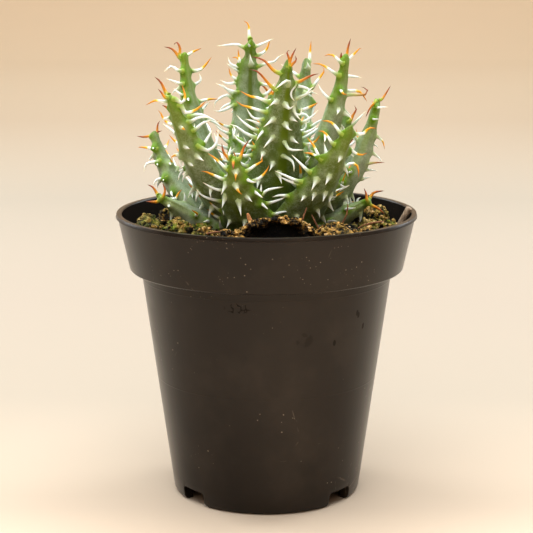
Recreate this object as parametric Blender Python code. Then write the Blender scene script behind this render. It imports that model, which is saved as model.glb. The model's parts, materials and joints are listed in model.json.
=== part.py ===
"""Potted aloe: a rosette of toothed leaves in a plastic nursery pot.

Metres, +Z up. The origin is the middle of the pot's foot, on the surface it stands on, and -Y is the front.
An azimuth is an angle seen from above: 0 is the front, 90 is +X, -90 is -X and 180 is the back.
"""

import math
import random
from dataclasses import dataclass

import bmesh
import bpy
from mathutils import Matrix, Vector
from mathutils.bvhtree import BVHTree

MM = 0.001
CLEARANCE = 0.3 * MM
SMOOTH_BELOW = 40  # degrees between two faces that are shaded as one curved skin
PLANT_SOLVER = "MANIFOLD"  # the exact solver loses some of the cuts between nested leaves and soil

# The pot, a 10.5 cm nursery pot with a deep collar.
POT_HEIGHT = 100 * MM
LIP_RADIUS = 52.5 * MM
LIP_WIDTH = 2.1 * MM
LIP_HEIGHT = 1.4 * MM
LIP_OVERHANG = 0.7 * MM
COLLAR_DEPTH = 20.2 * MM
COLLAR_FOOT_RADIUS = 47.9 * MM
BODY_TOP_RADIUS = 43.9 * MM
BODY_FOOT_RADIUS = 33.0 * MM
WALL = 1.1 * MM
FOOT_WALL = 3.2 * MM
FOOT_ROUND = 1.6 * MM
FLOOR_BOTTOM = 2.6 * MM
FLOOR_TOP = 4.0 * MM
POT_SEGMENTS = 54
NOTCH_AZIMUTHS = (-50, 50, 130, -130)
NOTCH_WIDTH = 11.0 * MM
NOTCH_HEIGHT = 5.4 * MM
NOTCH_DEPTH = 7.0 * MM
NOTCH_FLARE = 1.6 * MM

# The soil, lowest at the wall and heaped up round the plant.
SOIL_EDGE_HEIGHT = 92.0 * MM
SOIL_HEAP = 4.5 * MM
SOIL_ROUGHNESS = 0.8 * MM
SOIL_SEGMENTS = 28
SOIL_RINGS = (1.0, 0.92, 0.82, 0.7, 0.56, 0.4)
STEM_HOLE_RADIUS = 9.3 * MM
STEM_HOLE_BOTTOM = 80 * MM
SOCKETS_BELOW = 96.5 * MM  # leaves that leave the stem lower than this dip into the soil

# The stem: (radius, height) up its side, from its cut root end to its domed top.
STEM_PROFILE = ((5.5, 80.4), (8.6, 86), (8.8, 92), (7.6, 98), (6.0, 104), (4.2, 109), (2.0, 112))
STEM_SEGMENTS = 16

# A leaf's outline and thickness. WIDEST_AT and THICKEST_AT are shares of its length, back from the tip.
WIDEST_AT = 0.8
TAPER_POWER = 1.28
FOOT_NARROWING = 0.35
THICKEST_AT = 0.6
THICKNESS_POWER = 1.6
OUTER_SHARE = 0.64
KEEL_RISE = 1.14
TIP_HALF_WIDTH = 1.4 * MM
TIP_HALF_THICKNESS = 1.2 * MM
LEAF_STATIONS = (0.0, 0.13, 0.27, 0.42, 0.57, 0.71, 0.83, 0.92, 0.98)
LEAF_SIDES = 8
CURVE_STEPS = 48

# Teeth: root radius, length, and whether the tooth bends halfway.
MARGIN_TOOTH = (0.75 * MM, 7.6 * MM, True)
TIP_TOOTH = (0.75 * MM, 7.2 * MM, True)
FACE_TOOTH = (1.05 * MM, 3.0 * MM, False)
MARGIN_TEETH_EVERY = 7.0 * MM
FACE_TEETH_EVERY = 11.0 * MM
TOOTH_SINK = 1.1 * MM
TOOTH_SIDES = 3
TIP_FAN = ((-0.75, -0.2), (0.05, 0.25), (0.8, -0.1))  # each tip tooth's lean sideways and out of the back
FACE_COLUMNS = (58, 90, 122)  # degrees round the back, where 90 is the keel
TEETH_SEED = 500

# The twig that leans on the rim. Its foot lies just over the soil.
TWIG_FOOT = (45.8 * MM, -1.0 * MM)
TWIG_TOP = (49.9 * MM, -2.0 * MM, 101.6 * MM)
TWIG_RADIUS = 0.95 * MM
TWIG_SIDES = 8
TWIG_SWELL = ((0.0, 0.75), (0.35, 0.9), (0.7, 1.0), (1.0, 1.1))  # share of its length, share of its radius

# Crumbs strewn on the soil, and how far a clod's points stray from its smooth shape.
CRUMBS = 14
CRUMB_RADII = (1.8 * MM, 3.2 * MM)
CRUMB_RING = (27 * MM, 45 * MM)
CRUMB_SEED = 4
TWIG_ROOM = 6 * MM
CLOD_ROUGHNESS = 0.13


@dataclass(frozen=True)
class Leaf:
    """One leaf. Angles are in degrees and lengths in millimetres.

    It leaves the stem at foot_radius and foot_height on its azimuth, rising at lean_start above the horizon,
    and ends rising at lean_end. sway turns its heading sideways along its length.
    """

    name: str
    azimuth: float
    foot_radius: float
    foot_height: float
    length: float
    lean_start: float
    lean_end: float
    sway: float = 0.0
    width: float = 20.0
    thickness: float = 7.0


# From the oldest and lowest leaf to the youngest. Each stands about 137 degrees on from the one before.
LEAVES = (
    Leaf("leaf_low_right", 77, 8.5, 91.5, 31.5, 22, 32, 0, 16, 6.5),
    Leaf("leaf_low_back_left", -140, 8.5, 91.5, 38, 26, 52, 0, 18, 6.5),
    Leaf("leaf_low_front", -18, 8.5, 91, 42, 36, 68, 0, 22, 7),
    Leaf("leaf_low_back_right", 133, 8.5, 92, 41, 28, 60, 0, 18, 6.5),
    Leaf("leaf_low_left", -70, 8.5, 91.5, 34.5, 24, 32, 0, 16, 6.5),
    Leaf("leaf_front_right", 37, 8.5, 92.5, 54.5, 43, 56, 5, 22, 7.5),
    Leaf("leaf_low_back", -176, 8.5, 92.5, 44, 32, 70, 0, 19, 7),
    Leaf("leaf_front_left", -49, 8, 94, 60, 45, 66, 0, 19, 7.5),
    Leaf("leaf_right", 87, 8, 94, 56, 32, 82, 0, 18, 7),
    Leaf("leaf_left", -97, 8, 93, 49, 17, 78, -5, 18, 7.5),
    Leaf("leaf_tall_front", 14, 7.5, 97, 61, 72, 70, 3, 23, 7.5),
    Leaf("leaf_back_right", 111, 7.5, 96, 45, 34, 84, 0, 18, 7),
    Leaf("leaf_tall_left", -107, 7.5, 98, 62, 48, 89, -3, 19, 7),
    Leaf("leaf_tall_right", 74, 7.5, 99, 60, 61, 79, 0, 19, 7),
    Leaf("leaf_tall_back", -157, 6, 101, 60, 57, 108, -4, 20, 7),
    Leaf("leaf_back", 176, 6, 100, 42, 52, 84, 0, 17, 6.5),
    Leaf("leaf_tall_back_right", 145, 5.5, 103, 53, 52, 85, 0, 17, 6.5),
    Leaf("leaf_young_right", 62, 4, 106, 30, 64, 86, 0, 12, 5.5),
    Leaf("leaf_young_left", -76, 4, 107, 20, 62, 88, 0, 10, 5),
    Leaf("leaf_young_back", 162, 3, 109, 22, 66, 90, 0, 9, 4.5),
    Leaf("leaf_heart", 20, 2, 111, 15, 76, 92, 0, 7, 4),
)
HEART_LEAVES = 4  # the last ones of the list


@dataclass(frozen=True)
class Clod:
    """A crusted lump that has grown into the soil's surface, in millimetres."""

    x: float
    y: float
    top: float
    radii: tuple
    turn: float
    fineness: int


CLODS = (
    Clod(3.5, -35.5, 103.6, (12.5, 4.2, 6.5), 4, 2),
    Clod(22.5, -35.5, 101.6, (7.5, 4.5, 5.0), -12, 2),
    Clod(-13.0, -38.5, 100.0, (5.0, 3.6, 4.5), 10, 1),
    Clod(-40.5, -10.5, 100.2, (4.6, 6.5, 6.0), 20, 2),
    Clod(-29.0, -22.0, 99.5, (5.5, 4.0, 4.5), -25, 1),
    Clod(39.3, -1.0, 101.8, (3.4, 4.5, 6.0), 15, 2),
    Clod(29.0, 27.0, 99.0, (6.0, 5.0, 4.5), 35, 1),
    Clod(-24.0, 33.0, 99.0, (7.0, 4.5, 4.5), -30, 1),
)

COLOURS = {
    "pot": ((0.045, 0.038, 0.033), 0.5),
    "soil": ((0.10, 0.075, 0.045), 0.95),
    "stem": ((0.32, 0.27, 0.13), 0.8),
    "leaf": ((0.26, 0.36, 0.17), 0.5),
    "twig": ((0.30, 0.21, 0.14), 0.85),
}


def clear_scene():
    """Removes every object that the file starts with."""
    for thing in list(bpy.data.objects):
        bpy.data.objects.remove(thing)


def material(name):
    """The named material, made the first time it is asked for."""
    found = bpy.data.materials.get(name)
    if found:
        return found
    colour, roughness = COLOURS[name]
    made = bpy.data.materials.new(name)
    made.use_nodes = True
    shader = made.node_tree.nodes["Principled BSDF"]
    shader.inputs["Base Color"].default_value = (*colour, 1.0)
    shader.inputs["Roughness"].default_value = roughness
    shader.inputs["Metallic"].default_value = 0.0
    return made


def finish(thing, name):
    """Gives the whole object the named material, and shades it smooth except at its sharp edges."""
    thing.data.materials.clear()
    thing.data.materials.append(material(name))
    for face in thing.data.polygons:
        face.material_index = 0
    thing.data.shade_smooth()
    thing.data.set_sharp_from_angle(angle=math.radians(SMOOTH_BELOW))


def new_object(name, mesh, collection=None):
    """An object for the mesh, linked to the scene or to the given collection."""
    made = bpy.data.objects.new(name, mesh)
    (collection or bpy.context.scene.collection).objects.link(made)
    return made


def closed_mesh(name, shape):
    """The closed shape as a mesh with every face pointing out. It frees the shape."""
    bmesh.ops.recalc_face_normals(shape, faces=shape.faces)
    if shape.calc_volume(signed=True) < 0:
        bmesh.ops.reverse_faces(shape, faces=shape.faces)
    mesh = bpy.data.meshes.new(name)
    shape.to_mesh(mesh)
    shape.free()
    return mesh


def loft(name, rings, tip=None):
    """A closed mesh through rings of points, flat at the first ring and ending in a tip or a flat cap."""
    shape = bmesh.new()
    loops = [[shape.verts.new(p) for p in ring] for ring in rings]
    shape.faces.new(loops[0])
    for low, high in zip(loops, loops[1:]):
        for i in range(len(low)):
            shape.faces.new((low[i - 1], low[i], high[i], high[i - 1]))
    if tip is None:
        shape.faces.new(loops[-1])
    else:
        top = shape.verts.new(tip)
        for i in range(len(loops[-1])):
            shape.faces.new((loops[-1][i - 1], loops[-1][i], top))
    return closed_mesh(name, shape)


def turned(name, profile, segments):
    """A closed shape spun round Z from a (radius, height) profile, flat across its first and last rings."""
    shape = bmesh.new()
    points = [shape.verts.new((r, 0.0, z)) for r, z in profile]
    edges = [shape.edges.new(pair) for pair in zip(points, points[1:])]
    bmesh.ops.spin(
        shape,
        geom=[*points, *edges],
        axis=(0, 0, 1),
        cent=(0, 0, 0),
        angle=2 * math.pi,
        steps=segments,
        use_merge=True,
    )
    rims = [edge for edge in shape.edges if edge.is_boundary]
    bmesh.ops.holes_fill(shape, edges=rims, sides=segments)
    return closed_mesh(name, shape)


def apply_boolean(target, operation, other, solver="EXACT"):
    """Joins or cuts the target with another object or with all those of a collection, and keeps the result."""
    step = target.modifiers.new("cut", "BOOLEAN")
    step.operation = operation
    step.solver = solver
    if isinstance(other, bpy.types.Collection):
        step.operand_type = "COLLECTION"
        step.collection = other
    else:
        step.object = other
    bpy.context.view_layer.update()
    graph = bpy.context.evaluated_depsgraph_get()
    mesh = bpy.data.meshes.new_from_object(target.evaluated_get(graph))
    target.modifiers.clear()
    target.data = mesh


def keep_largest_body(target):
    """Drops any scrap that a cut has parted from the main body."""
    shape = bmesh.new()
    shape.from_mesh(target.data)
    left = set(shape.verts)
    bodies = []
    while left:
        body, reached = set(), [left.pop()]
        while reached:
            vert = reached.pop()
            body.add(vert)
            reached += [e.other_vert(vert) for e in vert.link_edges if e.other_vert(vert) in left]
            left.difference_update(reached)
        bodies.append(body)
    largest = max(bodies, key=len)
    scraps = [v for v in shape.verts if v not in largest]
    bmesh.ops.delete(shape, geom=scraps, context="VERTS")
    shape.to_mesh(target.data)
    shape.free()


def tree_of(mesh):
    """A search tree of the mesh's faces, in world space, for meshes whose object is at the origin."""
    shape = bmesh.new()
    shape.from_mesh(mesh)
    bmesh.ops.triangulate(shape, faces=shape.faces)
    tree = BVHTree.FromBMesh(shape)
    shape.free()
    return tree


def inside(tree, point):
    """Whether the point lies in the closed shape, by counting the walls above it."""
    walls, start = 0, point.copy()
    up = Vector((0.0113, 0.0071, 1.0)).normalized()
    while walls < 64:
        hit = tree.ray_cast(start, up)[0]
        if hit is None:
            break
        walls += 1
        start = hit + up * 1e-6
    return walls % 2 == 1


def on_azimuth(azimuth, radius, height=0.0):
    """The point at this azimuth in degrees, distance from the axis and height."""
    a = math.radians(azimuth)
    return Vector((radius * math.sin(a), -radius * math.cos(a), height))


def pot_profile():
    """(radius, height) round the pot's wall: from under its floor, up the outside and over the lip."""
    collar_top = POT_HEIGHT - LIP_HEIGHT
    ledge = POT_HEIGHT - COLLAR_DEPTH
    slope = (BODY_TOP_RADIUS - BODY_FOOT_RADIUS) / ledge
    lip_inside = LIP_RADIUS - LIP_WIDTH
    return [
        (BODY_FOOT_RADIUS - FOOT_WALL - 0.4 * MM, FLOOR_BOTTOM),
        (BODY_FOOT_RADIUS - FOOT_WALL, 0.0),
        (BODY_FOOT_RADIUS - FOOT_ROUND, 0.0),
        (BODY_FOOT_RADIUS - 0.3 * FOOT_ROUND, 0.3 * FOOT_ROUND),
        (BODY_FOOT_RADIUS + slope * FOOT_ROUND, FOOT_ROUND),
        (BODY_TOP_RADIUS, ledge),
        (COLLAR_FOOT_RADIUS - 0.5 * MM, ledge),
        (COLLAR_FOOT_RADIUS, ledge + 0.8 * MM),
        (LIP_RADIUS - LIP_OVERHANG, collar_top),
        (LIP_RADIUS, collar_top + 0.2 * MM),
        (LIP_RADIUS - 0.3 * MM, POT_HEIGHT),
        (lip_inside + 0.3 * MM, POT_HEIGHT),
        (lip_inside, POT_HEIGHT - 0.4 * MM),
        (COLLAR_FOOT_RADIUS - WALL, ledge + WALL),
        (BODY_TOP_RADIUS - WALL, ledge + WALL),
        (BODY_FOOT_RADIUS - WALL + slope * FLOOR_TOP, FLOOR_TOP),
    ]


def make_pot():
    """The pot: one moulded shell with a collar, a lip, a raised floor and four drain notches at its foot."""
    pot = new_object("pot", turned("pot", pot_profile(), POT_SEGMENTS))
    for azimuth in NOTCH_AZIMUTHS:
        notch = notch_cutter(azimuth)
        apply_boolean(pot, "DIFFERENCE", notch)
        bpy.data.objects.remove(notch)
    finish(pot, "pot")
    return pot


def notch_cutter(azimuth):
    """A block across the foot's corner, wider at the bottom, that opens one drain notch."""
    half, top = NOTCH_WIDTH / 2, NOTCH_HEIGHT
    outline = [
        (-half - NOTCH_FLARE, -1.0 * MM),
        (-half, 0.35 * top),
        (-half, top),
        (half, top),
        (half, 0.35 * top),
        (half + NOTCH_FLARE, -1.0 * MM),
    ]
    outward = on_azimuth(azimuth, 1.0)
    sideways = Vector((-outward.y, outward.x, 0.0))
    rings = []
    for distance in (BODY_FOOT_RADIUS - NOTCH_DEPTH, BODY_FOOT_RADIUS + 4 * MM):
        rings.append([outward * distance + sideways * x + Vector((0, 0, z)) for x, z in outline])
    return new_object("notch", loft("notch", rings))


def inner_wall_radius(height):
    """The pot's inner radius at a height above its floor."""
    ledge = POT_HEIGHT - COLLAR_DEPTH
    if height <= ledge + WALL:
        share = height / ledge
        return BODY_FOOT_RADIUS + (BODY_TOP_RADIUS - BODY_FOOT_RADIUS) * share - WALL
    share = (height - ledge - WALL) / (COLLAR_DEPTH - WALL)
    foot, lip = COLLAR_FOOT_RADIUS - WALL, LIP_RADIUS - LIP_WIDTH
    return foot + (lip - foot) * share


def soil_height(x, y):
    """The height of the soil's surface: a low heap round the plant, with a few waves of lumps."""
    radius = math.hypot(x, y) / (LIP_RADIUS - LIP_WIDTH)
    heap = SOIL_HEAP * (1 - min(1.0, radius) ** 2)
    u, v = x / MM, y / MM
    lumps = math.sin(0.29 * u + 1.3) * math.cos(0.33 * v - 0.6) + 0.6 * math.sin(0.61 * u - 0.47 * v)
    return SOIL_EDGE_HEIGHT + heap + SOIL_ROUGHNESS * lumps


def make_soil():
    """The soil: it fills the pot, has clods in its crust, and closes round the stem and the lower leaves."""
    soil = new_object("soil", soil_block())
    lumps = bpy.data.collections.new("clods")
    for number, clod in enumerate((*CLODS, *crumbs())):
        make_clod(number, clod, lumps)
    apply_boolean(soil, "UNION", lumps, PLANT_SOLVER)
    drop_collection(lumps)
    hole = [(STEM_HOLE_RADIUS, STEM_HOLE_BOTTOM), (STEM_HOLE_RADIUS, POT_HEIGHT)]
    cutters = [turned("hole", hole, STEM_SEGMENTS)]
    cutters += [leaf_mesh(leaf, CLEARANCE) for leaf in LEAVES if leaf.foot_height * MM < SOCKETS_BELOW]
    for mesh in cutters:
        cutter = new_object("cutter", mesh)
        apply_boolean(soil, "DIFFERENCE", cutter, PLANT_SOLVER)
        bpy.data.objects.remove(cutter)
    keep_largest_body(soil)
    finish(soil, "soil")
    return soil


def soil_block():
    """The soil before its clods and holes, a hair clear of the pot's floor and wall."""
    edge = inner_wall_radius(SOIL_EDGE_HEIGHT) - CLEARANCE
    ledge = POT_HEIGHT - COLLAR_DEPTH
    floor = FLOOR_TOP + CLEARANCE
    step = ledge + WALL + CLEARANCE
    turns = [2 * math.pi * i / SOIL_SEGMENTS for i in range(SOIL_SEGMENTS)]
    sides = [
        (inner_wall_radius(floor) - CLEARANCE, floor),
        (inner_wall_radius(ledge) - CLEARANCE, step),
        (COLLAR_FOOT_RADIUS - WALL - CLEARANCE, step),
    ]
    rings = [[Vector((r * math.cos(a), r * math.sin(a), z)) for a in turns] for r, z in sides]
    for share in SOIL_RINGS:
        ring = [(edge * share * math.cos(a), edge * share * math.sin(a)) for a in turns]
        rings.append([Vector((x, y, soil_height(x, y))) for x, y in ring])
    return loft("soil", rings, Vector((0, 0, soil_height(0, 0))))


def crumbs():
    """Small clods strewn round the plant, clear of the twig."""
    chance = random.Random(CRUMB_SEED)
    for i in range(CRUMBS):
        radius = chance.uniform(*CRUMB_RING)
        place = on_azimuth(360 * (i + chance.uniform(-0.3, 0.3)) / CRUMBS, radius)
        size = [chance.uniform(*CRUMB_RADII) / MM for _ in range(3)]
        if math.dist(place[:2], TWIG_FOOT) > TWIG_ROOM:
            top = soil_height(place.x, place.y) / MM + 0.75 * size[2]
            yield Clod(place.x / MM, place.y / MM, top, size, chance.uniform(0, 90), 1)


def make_clod(number, clod, collection):
    """One rough lump, widest in the soil, whose bumps come from its number."""
    shape = bmesh.new()
    bmesh.ops.create_icosphere(shape, subdivisions=clod.fineness, radius=1.0)
    rough = random.Random(number)
    turn = Matrix.Rotation(math.radians(clod.turn), 3, "Z")
    size = Vector(clod.radii) * MM
    centre = Vector((clod.x * MM, clod.y * MM, clod.top * MM - size.z))
    for vert in shape.verts:
        swell = 1 + rough.uniform(-CLOD_ROUGHNESS, CLOD_ROUGHNESS)
        local = Vector((vert.co.x * size.x, vert.co.y * size.y, vert.co.z * size.z)) * swell
        vert.co = centre + turn @ local
    mesh = bpy.data.meshes.new("clod")
    shape.to_mesh(mesh)
    shape.free()
    return new_object(f"clod_{number}", mesh, collection)


def drop_collection(collection):
    """Removes a collection of helpers and its objects."""
    for thing in list(collection.objects):
        bpy.data.objects.remove(thing)
    bpy.data.collections.remove(collection)


def stem_mesh(margin=0.0):
    """The short stem, grown by margin where it serves to cut a seat."""
    profile = [(r * MM + margin, z * MM) for r, z in STEM_PROFILE]
    if margin:
        (low_radius, bottom), (top_radius, top) = profile[0], profile[-1]
        profile = [(low_radius, bottom - margin), *profile, (top_radius, top + margin)]
    return turned("stem", profile, STEM_SEGMENTS)


class LeafCurve:
    """The line down a leaf's middle, with its directions at any share of its length from the stem."""

    def __init__(self, leaf):
        self.leaf = leaf
        self.points = [on_azimuth(leaf.azimuth, leaf.foot_radius * MM, leaf.foot_height * MM)]
        for step in range(CURVE_STEPS):
            along = self.heading((step + 0.5) / CURVE_STEPS)
            self.points.append(self.points[-1] + along * (leaf.length * MM / CURVE_STEPS))

    def heading(self, share):
        """The direction of growth."""
        leaf = self.leaf
        rise = math.radians(leaf.lean_start + (leaf.lean_end - leaf.lean_start) * share)
        level = on_azimuth(leaf.azimuth + leaf.sway * share, math.cos(rise))
        return Vector((level.x, level.y, math.sin(rise)))

    def frame(self, share):
        """(point, direction of growth, sideways direction, direction out of the leaf's back)."""
        place = min(max(share, 0.0), 1.0) * CURVE_STEPS
        step = min(int(place), CURVE_STEPS - 1)
        point = self.points[step].lerp(self.points[step + 1], place - step)
        along = self.heading(share)
        turn = math.radians(self.leaf.azimuth + self.leaf.sway * share)
        side = Vector((math.cos(turn), math.sin(turn), 0.0))
        return point, along, side, side.cross(along)


def half_width(leaf, share):
    """Half of the leaf's width at a share of its length from the stem."""
    back = 1 - share
    if back < WIDEST_AT:
        form = 1 - (1 - back / WIDEST_AT) ** TAPER_POWER
    else:
        form = 1 - FOOT_NARROWING * ((back - WIDEST_AT) / (1 - WIDEST_AT)) ** 2
    return math.hypot(TIP_HALF_WIDTH, 0.5 * leaf.width * MM * form)


def thickness(leaf, share):
    """The leaf's whole thickness at a share of its length from the stem."""
    back = min((1 - share) / THICKEST_AT, 1.0)
    form = 1 - (1 - back) ** THICKNESS_POWER
    return math.hypot(2 * TIP_HALF_THICKNESS, leaf.thickness * MM * form)


def on_leaf(leaf, curve, share, angle, margin=0.0):
    """The point on the leaf's skin. 0 and 180 degrees are the margins, 90 the keel and 270 the inner face."""
    point, _, side, out = curve.frame(share)
    a = math.radians(angle)
    across = (half_width(leaf, share) + margin) * math.cos(a)
    deep = thickness(leaf, share)
    reach = deep * OUTER_SHARE if math.sin(a) > 0 else deep * (1 - OUTER_SHARE)
    rise = (reach + margin) * math.sin(a)
    if abs(angle - 90) < 1:
        rise *= KEEL_RISE
    return point + side * across + out * rise


def leaf_mesh(leaf, margin=0.0):
    """The leaf without its teeth, grown by margin where it serves as a cutter."""
    curve = LeafCurve(leaf)
    angles = [360 * i / LEAF_SIDES for i in range(LEAF_SIDES)]
    rings = [[on_leaf(leaf, curve, s, a, margin) for a in angles] for s in LEAF_STATIONS]
    point, along, _, _ = curve.frame(1.0)
    if margin:
        foot, down = curve.frame(0.0)[0], curve.frame(0.0)[1]
        rings.insert(0, [p - down * margin for p in rings[0]])
    return loft(leaf.name, rings, point + along * margin)


def tooth_mesh(root, direction, bend, size, extra=0.0):
    """A spine that starts below the skin at root. Extra grows it, to test that it clears its neighbours."""
    radius, length, bends = size
    along = direction.normalized()
    across = along.orthogonal().normalized()
    other = along.cross(across)
    stations = [(root - along * TOOTH_SINK, radius * 1.1)]
    if bends:
        stations.append((root + along * length * 0.5 + bend * length * 0.2, radius * 0.6))
    turns = [2 * math.pi * i / TOOTH_SIDES for i in range(TOOTH_SIDES)]
    rings = []
    for centre, width in stations:
        rings.append([centre + (across * math.cos(a) + other * math.sin(a)) * (width + extra) for a in turns])
    return loft("tooth", rings, root + along * (length + extra) + bend * length)


def tooth_places(leaf, number):
    """(root, direction, bend, size) of each tooth: at the tip, on both margins and on both faces."""
    curve = LeafCurve(leaf)
    chance = random.Random(TEETH_SEED + number)
    scale = min(1.0, 0.45 + leaf.length / 90)
    places = []
    point, along, side, out = curve.frame(0.985)
    for lean, tilt in TIP_FAN:
        direction = along + side * lean + out * tilt
        places.append((point, direction, side * lean * 0.15 + out * 0.08, scaled(TIP_TOOTH, scale)))
    count = max(2, round(leaf.length * MM * 0.8 / MARGIN_TEETH_EVERY))
    for hand in (-1, 1):
        for i in range(count):
            share = 0.93 - 0.76 * (i + 0.35 * (hand > 0)) / count
            root = on_leaf(leaf, curve, share, 0 if hand > 0 else 180)
            _, along, side, out = curve.frame(share)
            direction = side * hand + along * chance.uniform(0.2, 0.6) + out * chance.uniform(-0.25, 0.3)
            bend = along * chance.uniform(0.08, 0.28)
            length = scale * chance.uniform(0.85, 1.1) * (0.72 + 0.28 * share)
            places.append((root, direction, bend, scaled(MARGIN_TOOTH, length)))
    rows = max(1, round(leaf.length * MM * 0.7 / FACE_TEETH_EVERY))
    for i in range(rows):
        for angle in FACE_COLUMNS:
            share = 0.84 - 0.62 * (i + chance.uniform(0.0, 0.5)) / rows
            root = on_leaf(leaf, curve, share, angle)
            _, along, side, out = curve.frame(share)
            direction = out - along * chance.uniform(0.35, 0.8) + side * math.cos(math.radians(angle)) * 0.5
            length = scale * chance.uniform(0.85, 1.15)
            places.append((root, direction, -along * 0.1, scaled(FACE_TOOTH, length)))
    root = on_leaf(leaf, curve, 0.84, 270)
    _, along, side, out = curve.frame(0.84)
    places.append((root, along * 0.5 - out, along * 0.15, scaled(FACE_TOOTH, 1.3 * scale)))
    return places


def scaled(size, factor):
    """The same tooth with its length scaled."""
    radius, length, bends = size
    return radius, length * factor, bends


def clear_tooth(place, own_tree, others):
    """The tooth's mesh and its grown test tree, bent or shortened until it clears all else, or None."""
    root, direction, bend, size = place
    along = direction.normalized()
    if not inside(own_tree, root - along * TOOTH_SINK):
        return None
    swings = (Vector((0, 0, 0)), Vector((0, 0, 0.45)), Vector((0, 0, 0.9)), Vector((0, 0, -0.4)))
    for shortening in (1.0, 0.75, 0.55):
        for swing in swings:
            turned_to = along + swing
            trial = scaled(size, shortening)
            grown = tree_of(tooth_mesh(root, turned_to, bend, trial, CLEARANCE))
            if all(not grown.overlap(tree) for tree in others):
                return tooth_mesh(root, turned_to, bend, trial), grown
    return None


def add_teeth(leaf, number, bodies, trees, teeth_trees, hard_trees):
    """Joins a leaf's teeth to its body with one union, leaving out a tooth that nothing can clear."""
    spines = bpy.data.collections.new("teeth")
    others = [tree for name, tree in trees.items() if name != leaf.name]
    for place in tooth_places(leaf, number):
        near = others + [t for name, t in teeth_trees if name != leaf.name] + hard_trees
        found = clear_tooth(place, trees[leaf.name], near)
        if found is None:
            continue
        mesh, grown = found
        teeth_trees.append((leaf.name, grown))
        new_object("tooth", mesh, spines)
    apply_boolean(bodies[leaf.name], "UNION", spines, PLANT_SOLVER)
    drop_collection(spines)
    keep_largest_body(bodies[leaf.name])


def make_leaf_bodies(stem_seat):
    """The leaves without teeth, each cut to lie clear of those made before it.

    The small leaves of the heart come first, youngest ahead, then the rest from the outside in: the outer
    leaves keep the whole of their backs and margins, and the hidden feet of the inner ones give way.
    """
    bodies, trees = {}, {}
    order = [*reversed(LEAVES[-HEART_LEAVES:]), *LEAVES[:-HEART_LEAVES]]
    for number, leaf in enumerate(order):
        body = new_object(leaf.name, leaf_mesh(leaf))
        apply_boolean(body, "DIFFERENCE", stem_seat, PLANT_SOLVER)
        own = tree_of(body.data)
        for earlier in order[:number]:
            grown = leaf_mesh(earlier, CLEARANCE)
            if not own.overlap(tree_of(grown)):
                continue
            cutter = new_object("cutter", grown)
            apply_boolean(body, "DIFFERENCE", cutter, PLANT_SOLVER)
            bpy.data.objects.remove(cutter)
        keep_largest_body(body)
        bodies[leaf.name] = body
        trees[leaf.name] = tree_of(body.data)
    return bodies, trees


def make_plant(pot):
    """The stem, the soil and the leaves with their teeth."""
    stem = new_object("stem", stem_mesh())
    finish(stem, "stem")
    seat = new_object("seat", stem_mesh(CLEARANCE))
    bodies, trees = make_leaf_bodies(seat)
    bpy.data.objects.remove(seat)
    soil = make_soil()
    hard_trees = [tree_of(pot.data), tree_of(soil.data), tree_of(stem.data)]
    teeth_trees = []
    for number, leaf in enumerate(LEAVES):
        add_teeth(leaf, number, bodies, trees, teeth_trees, hard_trees)
        finish(bodies[leaf.name], "leaf")


def make_twig():
    """The dry twig, thicker at its broken top, that leans from the soil on the rim."""
    foot = Vector((*TWIG_FOOT, soil_height(*TWIG_FOOT) + TWIG_RADIUS + CLEARANCE))
    top = Vector(TWIG_TOP)
    along = (top - foot).normalized()
    across = along.orthogonal().normalized()
    other = along.cross(across)
    rings = []
    for share, width in TWIG_SWELL:
        centre = foot.lerp(top, share)
        radius = TWIG_RADIUS * width
        turns = (2 * math.pi * i / TWIG_SIDES for i in range(TWIG_SIDES))
        rings.append([centre + (across * math.cos(a) + other * math.sin(a)) * radius for a in turns])
    twig = new_object("twig", loft("twig", rings))
    finish(twig, "twig")
    return twig


def main():
    """Builds the pot, the plant in its soil and the twig, and hangs them all on one empty."""
    clear_scene()
    pot = make_pot()
    make_plant(pot)
    make_twig()
    root = new_object("potted_aloe", None)
    for thing in bpy.context.scene.objects:
        if thing is not root:
            thing.parent = root


main()
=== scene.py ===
"""Potted aloe: the finished looks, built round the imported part.

Metres, +Z up, in the part's own frame: the origin is the middle of the pot's foot and -Y is the front. An
azimuth is an angle seen from above: 0 is the front, 90 is +X and -90 is -X. A share runs from 0 where a leaf
leaves the stem to 1 at its tip. An angle round a leaf is 0 or 180 at its margins, 90 on the keel of its back
and 270 on its inner face.
"""

import json
import logging
import math
import random
from collections.abc import Sequence
from dataclasses import dataclass
from enum import Enum
from typing import Union

import bpy
import numpy as np
from mathutils import Euler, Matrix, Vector, noise

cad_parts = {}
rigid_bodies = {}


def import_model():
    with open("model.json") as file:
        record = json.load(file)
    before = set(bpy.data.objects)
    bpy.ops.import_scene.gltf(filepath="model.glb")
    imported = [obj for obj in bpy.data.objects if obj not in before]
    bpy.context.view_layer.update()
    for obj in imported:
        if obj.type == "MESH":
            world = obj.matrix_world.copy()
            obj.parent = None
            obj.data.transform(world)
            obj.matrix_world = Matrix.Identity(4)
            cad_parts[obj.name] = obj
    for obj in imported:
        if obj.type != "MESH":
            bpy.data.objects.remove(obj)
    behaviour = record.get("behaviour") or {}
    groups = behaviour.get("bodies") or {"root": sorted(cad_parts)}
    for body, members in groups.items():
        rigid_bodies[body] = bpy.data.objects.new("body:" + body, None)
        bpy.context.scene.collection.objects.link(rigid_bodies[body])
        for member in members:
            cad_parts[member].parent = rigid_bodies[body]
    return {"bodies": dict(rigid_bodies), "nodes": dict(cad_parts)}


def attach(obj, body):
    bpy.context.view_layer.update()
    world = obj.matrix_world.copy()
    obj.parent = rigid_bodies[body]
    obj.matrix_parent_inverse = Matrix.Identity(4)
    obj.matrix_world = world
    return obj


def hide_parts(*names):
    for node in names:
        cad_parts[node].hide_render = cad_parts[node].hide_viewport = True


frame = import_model()

MM = 0.001
LOG = logging.getLogger("potted_aloe")

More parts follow.
